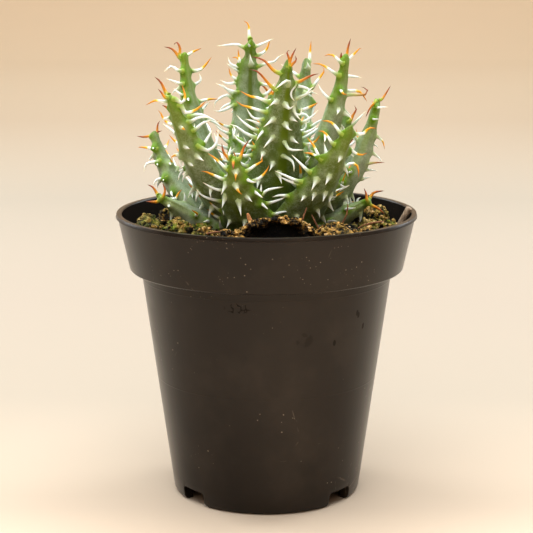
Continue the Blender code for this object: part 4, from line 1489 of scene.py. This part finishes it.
class LeafLine:
    """The line down a leaf's middle, and its directions."""

    def __init__(self, leaf: Leaf, form: LeafForm) -> None:
        """Walks along the leaf from its foot to its tip.

        Args:
            leaf: The leaf.
            form: The outline that it follows.
        """
        self.leaf = leaf
        self.form = form
        steps = form.curve_steps
        points = [np.array(on_azimuth(leaf.azimuth, leaf.foot_radius * MM, leaf.foot_height * MM))]
        for step in range(steps):
            along = self.directions(np.array([(step + 0.5) / steps]))[0][0]
            points.append(points[-1] + along * (leaf.length * MM / steps))
        self.points = np.array(points)

    def directions(self, share: np.ndarray) -> tuple[np.ndarray, np.ndarray, np.ndarray]:
        """The leaf's directions.

        Args:
            share: Where, along the leaf.

        Returns:
            Unit vectors towards its tip, sideways and out of its back, one row for each share.
        """
        leaf = self.leaf
        rise = np.radians(leaf.lean_start + (leaf.lean_end - leaf.lean_start) * share)
        turn = np.radians(leaf.azimuth + leaf.sway * share)
        level = np.cos(rise)
        along = np.stack([level * np.sin(turn), -level * np.cos(turn), np.sin(rise)], -1)
        side = np.stack([np.cos(turn), np.sin(turn), np.zeros_like(turn)], -1)
        return along, side, np.cross(side, along)

    def middle(self, share: np.ndarray) -> np.ndarray:
        """The line.

        Args:
            share: Where, along the leaf.

        Returns:
            Its points, one row for each share.
        """
        place = np.clip(share, 0, 1) * self.form.curve_steps
        step = np.minimum(place.astype(int), self.form.curve_steps - 1)
        part = (place - step)[:, None]
        return self.points[step] * (1 - part) + self.points[step + 1] * part

    def skin(self, share: np.ndarray, angle: np.ndarray, reach: np.ndarray | float = 1.0) -> np.ndarray:
        """Points on the skin or inside it.

        Args:
            share: Where, along the leaf.
            angle: Where, round the leaf, in radians.
            reach: 1 on the skin, and less towards the middle.

        Returns:
            The points, one row each.
        """
        _, side, out = self.directions(share)
        across = self.form.half_width(self.leaf, share) * np.cos(angle) * reach
        deep = self.form.thickness(self.leaf, share)
        sine = np.sin(angle)
        keel = 1 + self.form.keel_rise * np.exp(-(((np.degrees(angle) - 90) / self.form.keel_spread) ** 2))
        side_share = np.where(sine > 0, self.form.outer_share, 1 - self.form.outer_share)
        rise = deep * side_share * sine * keel * reach
        return self.middle(share) + side * across[:, None] + out * rise[:, None]

    def seat(self, tooth: Tooth) -> np.ndarray:
        """The point of the skin under a tooth."""
        return self.skin(np.array([tooth.share]), np.array([math.radians(tooth.angle)]))[0]

    def outward(self, tooth: Tooth) -> np.ndarray:
        """The way out of the leaf under a tooth.

        Args:
            tooth: The tooth.

        Returns:
            The direction straight out of the skin there.
        """
        a, share = math.radians(tooth.angle), np.array([tooth.share])
        _, side, out = self.directions(share)
        wide = self.form.half_width(self.leaf, share)[0]
        deep = self.form.thickness(self.leaf, share)[0] * self.form.outer_share
        vector = side[0] * math.cos(a) * deep + out[0] * math.sin(a) * wide
        return vector / np.linalg.norm(vector)


@dataclass
class Rosette:
    """The leaves, each one piece of skin and teeth.

    A tooth is a slender hook or a stout thorn. hook and thorn are their radii from ring to ring, as shares of
    hook_radius and thorn_radius. A swelling is its height and its spread. orange is the ripeness at which a
    tooth turns orange. The lengths that the rule draws are in millimetres.
    """

    form: LeafForm
    sides: int = 24
    stations: int = 36
    rounded_from: float = 0.945
    rounding: tuple[float, ...] = (0.3, 0.55, 0.75, 0.88, 0.96, 1.0)
    tooth_sides: int = 6
    tooth_rings: tuple[float, ...] = (0.0, 0.10, 0.20, 0.32, 0.46, 0.62, 0.78, 0.91, 1.0)
    hook: tuple[float, ...] = (1.9, 1.5, 1.15, 0.95, 0.82, 0.68, 0.48, 0.24, 0.03)
    thorn: tuple[float, ...] = (2.1, 1.9, 1.5, 1.08, 0.76, 0.50, 0.28, 0.12, 0.02)
    hook_radius: float = 0.57 * MM
    thorn_radius: float = 0.72 * MM
    hook_length: float = 8 * MM
    thorn_length: float = 4.2 * MM
    hooked_between: Pair = (4.8 * MM, 8.5 * MM)
    orange: float = 0.27
    tooth_sink: float = 0.9 * MM
    path_steps: int = 40
    margin_swelling: Pair = (1.75 * MM, 1.40 * MM)
    margin_dip: float = 0.50 * MM
    face_swelling: Pair = (0.75 * MM, 1.55 * MM)
    ripple: float = 0.28 * MM
    tip_from: float = 0.95
    fan_from: float = 0.96
    fan: tuple[Pair, ...] = ((-0.75, -0.2), (0.05, 0.25), (0.8, -0.1))
    fan_share: float = 0.985
    fan_length: float = 7.0
    unripe: float = 0.1
    margin_every: float = 4.5 * MM
    margin_lengths: Pair = (5.6, 8.4)
    inner_radius: float = 6.0
    inner_crowding: float = 0.55
    face_every: float = 8.0 * MM
    face_angles: tuple[float, ...] = (55, 90, 125)
    face_lengths: Pair = (2.6, 4.0)
    inner_shares: tuple[float, ...] = (0.86, 0.72)
    inner_lengths: Pair = (3.0, 4.5)
    room: float = 3.4 * MM
    front_room: float = 6.5 * MM
    seed: int = 500

    def build(self) -> None:
        """Makes the models of skin and tooth once, and grows each leaf from copies of them."""
        skin_model = self._skin_model()
        rings = [(1.0, height) for height in self.tooth_rings]
        tooth_model = Bench.turn("tooth_model", rings, self.tooth_sides)
        materials = LeafSkin().material(), ToothHorn().material()
        for number, leaf in enumerate(LEAVES):
            line = LeafLine(leaf, self.form)
            teeth = self._teeth(line, number)
            skin = self._skin(skin_model, line, teeth)
            horns = [self._horn(tooth_model, line, tooth) for tooth in teeth]
            for horn in horns:
                Bench.dress(horn, *materials)
                for face in horn.data.polygons:
                    face.material_index = 1
            Bench.dress(skin, *materials)
            piece = Bench.join([skin, *horns], f"{leaf.name}_fine")
            Bench.smooth(piece, 70)
            Bench.hand_over(piece, "leaf", leaf.name)
        Bench.drop(skin_model)
        Bench.drop(tooth_model)

    def _skin_model(self) -> Piece:
        """Draws out the straight skin that every leaf starts from, one long and one in radius.

        Returns:
            The model, closed and rounded at its tip.
        """
        profile = [(1.0, i / self.stations * self.rounded_from) for i in range(self.stations + 1)]
        for part in self.rounding:
            height = self.rounded_from + (1 - self.rounded_from) * part
            profile.append((max(math.sqrt(max(1 - part**2, 0)), 0.12), height))
        model = Bench.turn("skin_model", profile, self.sides)
        Bench.subdivide(model, 1)
        return model

    def _skin(self, model: Piece, line: LeafLine, teeth: list[Tooth]) -> Piece:
        """Bends a copy of the straight skin into the leaf and swells it under its teeth.

        Args:
            model: The straight skin.
            line: The leaf's line.
            teeth: The leaf's teeth.

        Returns:
            The skin, with its keel, swellings and ripeness kept at its points.
        """
        leaf = line.leaf
        skin = Bench.copy(model, leaf.name)
        straight = Bench.points(skin)
        share = np.clip(straight[:, 2], 0, 1)
        angle = np.arctan2(straight[:, 1], straight[:, 0]) % (2 * math.pi)
        reach = np.minimum(np.hypot(straight[:, 0], straight[:, 1]) * 1.008, 1.0)
        places = line.skin(share, angle, reach)
        swelling = np.zeros(len(places))
        pallor = np.zeros(len(places))
        lift = np.zeros_like(places)
        for tooth in teeth:
            height, spread, at_margin = self._swelling(leaf, tooth)
            away = np.linalg.norm(places - line.seat(tooth), axis=1)
            lift += np.exp(-((away / spread) ** 2))[:, None] * height * line.outward(tooth)
            if at_margin:
                green, near = 0.45 + 0.55 * leaf.knobs, np.exp(-((away / (1.45 * spread)) ** 4))
            else:
                green, near = leaf.knobs - 0.5 if tooth.angle < 180 else 0.9, np.exp(-((away / spread) ** 4))
                pallor = np.maximum(pallor, np.exp(-((away / (0.75 * spread)) ** 2)) * 0.7)
            swelling = np.maximum(swelling, near * green)
        ripple = np.array([noise.noise(Vector(p) * 160) + 0.6 * noise.noise(Vector(p) * 420) for p in places])
        outwards = places - line.middle(share)
        outwards /= np.maximum(np.linalg.norm(outwards, axis=1), 1e-9)[:, None]
        dip = self.margin_dip * np.exp(-((np.sin(angle) / 0.35) ** 2)) * step_between(1 - share, 0.03, 0.12)
        change = ripple * self.ripple - dip
        Bench.move_to(skin, places + lift + outwards * (change * reach)[:, None])
        Bench.face_out(skin)
        across = np.cos(angle) * reach
        stripe = np.exp(-((across / 0.25) ** 4)) * step_between(np.abs(np.sin(angle)), 0.0, 0.5)
        stripe *= leaf.keel * step_between(share, 0.12, 0.4)
        # Less wax, so a darker green, towards the foot: painted shade low on the leaf; less again towards the
        # greener tip.
        wax = leaf.bloom * (0.35 + 0.65 * step_between(share, 0.1, 0.6))
        wax *= 1 - 0.6 * step_between(share, 0.62, 0.98)
        edge = np.exp(-(((1 - np.abs(across)) / 0.10) ** 2)) * 0.55
        tip = step_between(share, 0.52, 0.98) * leaf.ripeness
        Bench.keep(
            skin,
            keel=np.clip(1.25 * stripe, 0, 1),
            bloom=wax,
            swelling=swelling * step_between(share, 0.05, 0.5),
            pallor=pallor * (1 - 0.8 * stripe),
            ripeness=np.clip(tip + edge * 0.6, 0, 1),
            rooting=0.0,
        )
        return skin

    def _swelling(self, leaf: Leaf, tooth: Tooth) -> tuple[float, float, bool]:
        """The swelling under a tooth.

        Args:
            leaf: The leaf.
            tooth: The tooth.

        Returns:
            The swelling's height and spread, and whether the tooth stands on a margin or at the tip.
        """
        at_tip = tooth.share > self.tip_from
        if at_tip or abs(math.sin(math.radians(tooth.angle))) < 0.5:
            height, spread = self.margin_swelling
            return height * (0.3 if at_tip else leaf.knobs), spread, True
        return *self.face_swelling, False

    def _horn(self, model: Piece, line: LeafLine, tooth: Tooth) -> Piece:
        """Bends a copy of the straight tooth through its points.

        Args:
            model: The straight tooth.
            line: The leaf's line.
            tooth: The tooth's seat, colour and bends.

        Returns:
            The tooth, with its ripeness and its rooting kept at its points.
        """
        horn = Bench.copy(model, "horn")
        straight = Bench.points(horn)
        along, side, out = (d[0] for d in line.directions(np.array([tooth.share])))
        outward = line.outward(tooth)
        height, _, at_margin = self._swelling(line.leaf, tooth)
        seat = line.seat(tooth) + outward * height * 0.75
        through = [seat + (side * b[0] + along * b[1] + out * b[2]) * MM for b in tooth.bends]
        start = through[0] - seat
        root = seat - outward * self.tooth_sink - start / np.linalg.norm(start) * self.tooth_sink * 0.4
        path = smooth_path([root, seat, *through], self.path_steps)
        length = float(np.linalg.norm(np.diff(path, axis=0), axis=1).sum())
        t = np.clip(straight[:, 2], 0, 1)
        hook = np.interp(t, self.tooth_rings, self.hook) * self.hook_radius
        hook *= 0.8 + 0.2 * min(length / self.hook_length, 1.25)
        thorn = np.interp(t, self.tooth_rings, self.thorn) * self.thorn_radius
        thorn *= min(0.55 + 0.45 * length / self.thorn_length, 1.15)
        hooked = 1.0 if at_margin else float(step_between(length, *self.hooked_between))
        radius = (hook * hooked + thorn * (1 - hooked)) * line.leaf.stout
        Bench.move_to(horn, wrap_on_path(straight, path, radius))
        start_at, darkness = tooth.tint.value
        amber = step_between(t, start_at, start_at + 0.07) * self.orange
        darker = np.clip((t - start_at) / max(1 - start_at, 0.2), 0, 1) * max(darkness - self.orange, 0)
        amber += darker * (amber > 0)
        if tooth.tint is Tint.WHITE:
            amber = 0.07 * step_between(t, 0.75, 1.0)
        rooting = 1 - step_between(t, 0.12, 0.34 if at_margin else 0.75)
        pallor = 0.0 if at_margin else 1.0
        Bench.keep(horn, ripeness=amber, rooting=rooting, pallor=pallor, keel=0.0, bloom=0.0, swelling=0.0)
        return horn

    def _teeth(self, line: LeafLine, number: int) -> list[Tooth]:
        """A leaf's teeth: those seen from the front, and the rest by rule where those leave room.

        Args:
            line: The leaf's line.
            number: Its number, which seeds the rule.

        Returns:
            The teeth.
        """
        seen = [Tooth.seen(*row) for row in FRONT_TEETH.get(line.leaf.name, ())]
        seats = [line.seat(tooth) for tooth in seen]
        teeth = list(seen)
        for tooth in self._ruled_teeth(line.leaf, number):
            if tooth.share > self.fan_from and any(other.share > self.fan_from for other in seen):
                continue
            in_front = seen and line.outward(tooth)[1] < -0.35
            room = self.front_room if in_front else self.room
            if all(np.linalg.norm(line.seat(tooth) - other) > room for other in seats):
                teeth.append(tooth)
        return teeth

    def _ruled_teeth(self, leaf: Leaf, number: int) -> list[Tooth]:
        """The teeth that the rule gives a leaf at its tip, on its margins and on its faces.

        Args:
            leaf: The leaf.
            number: The leaf's number, which seeds the rule.

        Returns:
            The teeth.
        """
        chance = random.Random(self.seed + number)
        scale = min(1.0, 0.45 + leaf.length / 90)
        teeth = []
        for lean, tilt in self.fan:
            long = self.fan_length * scale * chance.uniform(0.85, 1.1)
            bend = chance.uniform(-0.25, 0.25)
            middle = (lean * long * 0.42, long * 0.5, tilt * long * 0.5)
            end = ((lean + bend) * long * 0.85, long * chance.uniform(0.7, 0.95), (tilt + bend) * long)
            tint = WHITE if leaf.ripeness <= self.unripe else AMBER
            teeth.append(Tooth(self.fan_share, 90, tint, (middle, end)))
        every = self.margin_every * (self.inner_crowding if leaf.foot_radius <= self.inner_radius else 1)
        count = max(3, round(leaf.length * MM * 0.82 / every))
        for hand in (-1, 1):
            for i in range(count):
                share = 0.94 - 0.80 * (i + 0.4 * (hand > 0) + chance.uniform(-0.15, 0.15)) / count
                long = scale * chance.uniform(*self.margin_lengths) * (0.68 + 0.32 * share)
                climb, lean = chance.uniform(0.3, 0.95), chance.uniform(-0.4, 0.2)
                curl, twist = chance.uniform(-0.15, 0.65), chance.uniform(-0.25, 0.25)
                middle = (hand * long * 0.5, climb * long * 0.42, lean * long * 0.5)
                rise = climb * 0.8 + curl * 0.6
                end = (hand * long * (0.92 - 0.25 * curl), long * rise, (lean + twist) * long)
                ripe = chance.random() < 0.15 + 0.45 * share and leaf.ripeness > self.unripe
                tint = TIPPED if ripe else WHITE
                teeth.append(Tooth(share, 0 if hand > 0 else 180, tint, (middle, end)))
        rows = max(1, round(leaf.length * MM * 0.72 / self.face_every))
        for i in range(rows):
            for angle in self.face_angles:
                share = 0.86 - 0.66 * (i + chance.uniform(0.0, 0.6)) / rows
                long = scale * chance.uniform(*self.face_lengths)
                drop = chance.uniform(0.3, 0.9)
                lean = math.cos(math.radians(angle)) * 0.6
                end = (lean * long, -drop * long * 0.8, long * 0.85)
                middle = (lean * long * 0.45, -drop * long * 0.25, long * 0.5)
                teeth.append(Tooth(share, angle + chance.uniform(-8, 8), WHITE, (middle, end)))
        for share in self.inner_shares:
            long = scale * chance.uniform(*self.inner_lengths)
            bends = ((0.3, long * 0.3, -long * 0.5), (0, long * 0.7, -long))
            teeth.append(Tooth(share, 270 + chance.uniform(-20, 20), WHITE, bends))
        return teeth


def smooth_path(through: list[np.ndarray], steps: int) -> np.ndarray:
    """A smooth line through points.

    Args:
        through: The points, two or more.
        steps: How many points the line gets between its ends.

    Returns:
        The line's points, one row each.
    """
    knots = [2 * through[0] - through[1], *through, 2 * through[-1] - through[-2]]
    spans = len(through) - 1
    line = []
    for i in range(steps + 1):
        place = min(i / steps * spans, spans - 1e-6)
        span, t = int(place), place - int(place)
        a, b, c, d = knots[span : span + 4]
        line.append(
            0.5 * (2 * b + (c - a) * t + (2 * a - 5 * b + 4 * c - d) * t**2 + (3 * b - a - 3 * c + d) * t**3)
        )
    return np.array(line)


def wrap_on_path(straight: np.ndarray, path: np.ndarray, radius: np.ndarray | float) -> np.ndarray:
    """Lays a straight form, one long on Z, along a line.

    Args:
        straight: The form's points.
        path: The line's points.
        radius: What one across becomes, for all or for each point.

    Returns:
        The points along the line.
    """
    lengths = np.concatenate([[0.0], np.cumsum(np.linalg.norm(np.diff(path, axis=0), axis=1))])
    lengths /= lengths[-1]
    ways = np.gradient(path, axis=0)
    ways /= np.linalg.norm(ways, axis=1)[:, None]
    across = np.cross(ways[0], (0.31, 0.52, 0.79))
    sides = []
    for way in ways:
        across = across - way * np.dot(across, way)
        across = across / np.linalg.norm(across)
        sides.append(across)
    sides = np.array(sides)
    others = np.cross(ways, sides)
    t = np.clip(straight[:, 2], 0, 1)

    def at(rows: np.ndarray) -> np.ndarray:
        """The rows' values at each point's share of the line."""
        return np.stack([np.interp(t, lengths, rows[:, k]) for k in range(3)], -1)

    across = at(sides) * straight[:, :1] + at(others) * straight[:, 1:2]
    return at(path) + across * (np.ones(len(t)) * radius)[:, None]


@dataclass
class Stem:
    """The short stem that the leaves leave, ringed where old leaves stood."""

    profile: tuple[Pair, ...] = (
        (5.5, 80.4), (8.6, 86), (8.8, 92), (7.6, 98), (6.0, 104), (4.2, 109), (2.0, 112),
    )
    steps: int = 4
    sides: int = 32
    ring_every: float = 2.2 * MM
    ring_depth: float = 0.03

    def build(self) -> None:
        """Turns the stem, rounds it and rings it."""
        rings = []
        for (radius, height), (next_radius, next_height) in zip(self.profile, self.profile[1:]):
            for step in range(self.steps):
                part = step / self.steps
                rings.append((radius + (next_radius - radius) * part, height + (next_height - height) * part))
        rings.append(self.profile[-1])
        stem = Bench.turn("stem_core", [(r * MM, z * MM) for r, z in rings], self.sides)
        Bench.subdivide(stem, 1)
        places = Bench.points(stem)
        ring = 1 + self.ring_depth * np.sin(places[:, 2] / self.ring_every * 2 * math.pi)
        places[:, :2] *= ring[:, None]
        Bench.move_to(stem, places)
        Bench.smooth(stem, 50)
        Bench.dress(stem, Bark("stem_skin", (0.10, 0.075, 0.025), (0.36, 0.33, 0.14)).material())
        Bench.hand_over(stem, "stem", "stem")


@dataclass
class Litter:
    """The dry twig that leans on the rim, and the dead spines and the stub in the soil.

    Each profile is (radius, share of the length). The spines' points are in millimetres.
    """

    soil: Soil
    foot: Pair = (45.8 * MM, -1.0 * MM)
    top: Triple = (49.9 * MM, -2.0 * MM, 101.6 * MM)
    radius: float = 1.15 * MM
    roughness: float = 0.14 * MM
    sides: int = 14
    profile: tuple[Pair, ...] = (
        (0.70, 0.0), (0.78, 0.04), (0.84, 0.2), (0.93, 0.4), (0.96, 0.6), (1.02, 0.8), (1.1, 0.95),
        (0.98, 1.0),
    )
    spine_profile: tuple[Pair, ...] = ((1.0, 0.0), (0.95, 0.3), (0.85, 0.6), (0.66, 0.88), (0.40, 1.0))
    spine_sides: int = 8
    spines: tuple[tuple[Triple, ...], ...] = (
        ((11.0, -32.5, 99.5), (12.0, -34.0, 103.5), (13.2, -34.5, 107.0)),
        ((17.5, -31.0, 98.5), (16.0, -33.5, 102.0), (14.8, -34.0, 104.5)),
        ((25.0, -27.0, 100.0), (26.5, -30.0, 104.0), (26.8, -31.0, 107.5)),
        ((-21.0, -30.0, 97.0), (-17.0, -33.0, 98.6), (-13.5, -36.0, 98.8)),
        ((31.0, -20.0, 97.5), (34.5, -22.5, 99.6), (39.5, -22.0, 100.2)),
    )
    stub: tuple[Triple, ...] = ((-4.4, -31.6, 97.2), (-5.0, -33.4, 101.2), (-6.2, -34.6, 105.0))
    spine_radius: float = 0.32 * MM
    stub_radius: float = 0.95 * MM

    def build(self) -> None:
        """Makes the twig and the dead spines."""
        self._twig()
        self._spines()

    def _twig(self) -> None:
        """Draws out the twig, swollen towards its broken top, and leans it on the rim."""
        twig = Bench.turn("twig_bark", self.profile, self.sides)
        Bench.subdivide(twig, 1)
        straight = Bench.points(twig)
        foot = np.array([*self.foot, self.soil.surface(*self.foot) + self.radius])
        places = wrap_on_path(straight, np.linspace(foot, np.array(self.top), 6), self.radius)
        for i, place in enumerate(places):
            places[i] += noise.noise(Vector(place) * 900) * self.roughness * np.array((0.6, 0.5, 0.6))
        Bench.move_to(twig, places)
        Bench.smooth(twig, 55)
        Bench.dress(twig, Bark("twig_skin", (0.15, 0.10, 0.065), (0.50, 0.38, 0.27), 1200).material())
        Bench.hand_over(twig, "twig", "twig")

    def _spines(self) -> None:
        """Draws out a dead spine once, and bends copies of it into the spines and the reddish stub."""
        model = Bench.turn("spine_model", self.spine_profile, self.spine_sides)
        straight = Bench.points(model)
        made = []
        dark = Bark("dead_spine_skin", (0.16, 0.05, 0.02), (0.42, 0.20, 0.09), 1500).material()
        reddish = Bark("stub_skin", (0.42, 0.15, 0.05), (0.80, 0.40, 0.17), 1500).material()
        paths = [(points, self.spine_radius) for points in self.spines] + [(self.stub, self.stub_radius)]
        for number, (points, radius) in enumerate(paths):
            spine = Bench.copy(model, f"spine_{number}")
            path = smooth_path([np.array(p) * MM for p in points], 12)
            Bench.move_to(spine, wrap_on_path(straight, path, radius))
            Bench.dress(spine, reddish if radius == self.stub_radius else dark)
            made.append(spine)
        Bench.drop(model)
        spines = Bench.join(made, "dead_spines")
        Bench.smooth(spines, 60)
        Bench.hand_over(spines, "twig")


# ---- The studio ----


@dataclass(frozen=True)
class Softbox:
    """A soft lamp: where it stands, what it looks at, its sizes, power and colour."""

    name: str
    place: Triple
    aim: Triple
    size: Pair
    power: float
    colour: Colour = (0.93, 0.98, 1.0)


@dataclass
class Studio:
    """The paper sweep, the lamps and the camera, which looks camera_drop degrees down."""

    camera_place: Triple = (0.0, -0.543, 0.1925)
    camera_drop: float = 11.69
    lens: float = 106.4
    sensor: float = 36.0
    clip_start: float = 10 * MM
    ambient: Colour = (0.93, 0.98, 1.0)
    ambient_strength: float = 0.42
    near_edge: float = -2.0
    sweep_start: float = 2.0
    sweep_radius: float = 0.8
    sweep_steps: int = 18
    wall_height: float = 1.8
    half_width: float = 3.2
    lamps: tuple[Softbox, ...] = (
        Softbox("top_light", (-0.05, 0.08, 1.15), (0, 0.05, 0.0), (1.5, 1.3), 33.0),
        Softbox("front_light", (-0.1, -0.80, 1.00), (0, -0.05, 0.05), (1.0, 0.7), 6.8),
        Softbox("far_light", (0.0, 0.95, 1.50), (0, 2.4, 0.0), (2.8, 1.2), 46.0),
        Softbox("left_light", (-0.70, 0.50, 0.45), (0, 0, 0.12), (0.4, 0.6), 5.0),
        Softbox("right_light", (0.70, 0.50, 0.45), (0, 0, 0.12), (0.4, 0.6), 5.0),
    )

    def build(self) -> None:
        """Lays the paper, hangs the lamps and sets up the camera."""
        self._paper()
        for lamp in self.lamps:
            self._hang(lamp)
        self._world()
        self._camera()

    def _paper(self) -> None:
        """Draws the sheet of paper out of a plane: along the floor, up a round sweep and up the wall."""
        Bench.clear()
        middle = (0, (self.near_edge + self.sweep_start) / 2, 0)
        bpy.ops.mesh.primitive_plane_add(size=1.0, location=middle)
        paper = Bench.settle("paper_sweep")
        Bench.open()
        size = (2 * self.half_width, self.sweep_start - self.near_edge, 1)
        bpy.ops.transform.resize(value=size, center_override=middle)
        bpy.ops.object.mode_set(mode="OBJECT")
        back = max(v.co.y for v in paper.data.vertices)
        for edge in paper.data.edges:
            edge.select = all(abs(paper.data.vertices[i].co.y - back) < MM for i in edge.vertices)
        bpy.ops.object.mode_set(mode="EDIT")
        bpy.ops.mesh.select_mode(type="EDGE")
        for i in range(self.sweep_steps):
            low, high = (math.pi / 2 * k / self.sweep_steps for k in (i, i + 1))
            run = self.sweep_radius * (math.sin(high) - math.sin(low))
            climb = self.sweep_radius * (math.cos(low) - math.cos(high))
            bpy.ops.mesh.extrude_region_move(TRANSFORM_OT_translate={"value": (0, run, climb)})
        bpy.ops.mesh.extrude_region_move(TRANSFORM_OT_translate={"value": (0, 0, self.wall_height)})
        Bench.close()
        Bench.smooth(paper, 60)
        Bench.dress(paper, BackdropPaper().material())

    @staticmethod
    def _hang(lamp: Softbox) -> None:
        """Hangs one lamp.

        Args:
            lamp: The lamp.
        """
        data = bpy.data.lights.new(lamp.name, "AREA")
        data.shape = "RECTANGLE"
        data.size, data.size_y = lamp.size
        data.energy = lamp.power
        data.color = lamp.colour
        hung = bpy.data.objects.new(lamp.name, data)
        bpy.context.scene.collection.objects.link(hung)
        hung.location = lamp.place
        hung.rotation_euler = (Vector(lamp.aim) - Vector(lamp.place)).to_track_quat("-Z", "Y").to_euler()

    def _world(self) -> None:
        """Fills the room with even light."""
        world = bpy.data.worlds.new("room")
        world.use_nodes = True
        light = world.node_tree.nodes["Background"]
        light.inputs["Color"].default_value = (*self.ambient, 1.0)
        light.inputs["Strength"].default_value = self.ambient_strength
        bpy.context.scene.world = world

    def _camera(self) -> None:
        """Sets the camera where the photograph was taken from."""
        data = bpy.data.cameras.new("camera")
        data.sensor_width = self.sensor
        data.lens = self.lens
        data.clip_start = self.clip_start
        camera = bpy.data.objects.new("camera", data)
        bpy.context.scene.collection.objects.link(camera)
        camera.location = self.camera_place
        camera.rotation_euler = (math.radians(90 - self.camera_drop), 0.0, 0.0)
        bpy.context.scene.camera = camera
        bpy.context.scene.view_settings.view_transform = "Standard"


def clear_leftovers() -> None:
    """Removes what the file starts with and keeps the part's own nodes and bodies."""
    kept = {thing.name for thing in (*frame["nodes"].values(), *frame["bodies"].values())}
    for thing in list(bpy.data.objects):
        if thing.name not in kept:
            bpy.data.objects.remove(thing)


def main() -> None:
    """Builds the studio and the potted aloe."""
    logging.basicConfig(level=logging.INFO, format="%(name)s: %(message)s")
    clear_leftovers()
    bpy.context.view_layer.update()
    Studio().build()
    pot = Pot()
    pot.build()
    soil = Soil(pot)
    soil.build()
    Stem().build()
    Litter(soil).build()
    Rosette(LeafForm()).build()
    Bench.clear()


if __name__ == "__main__":
    main()
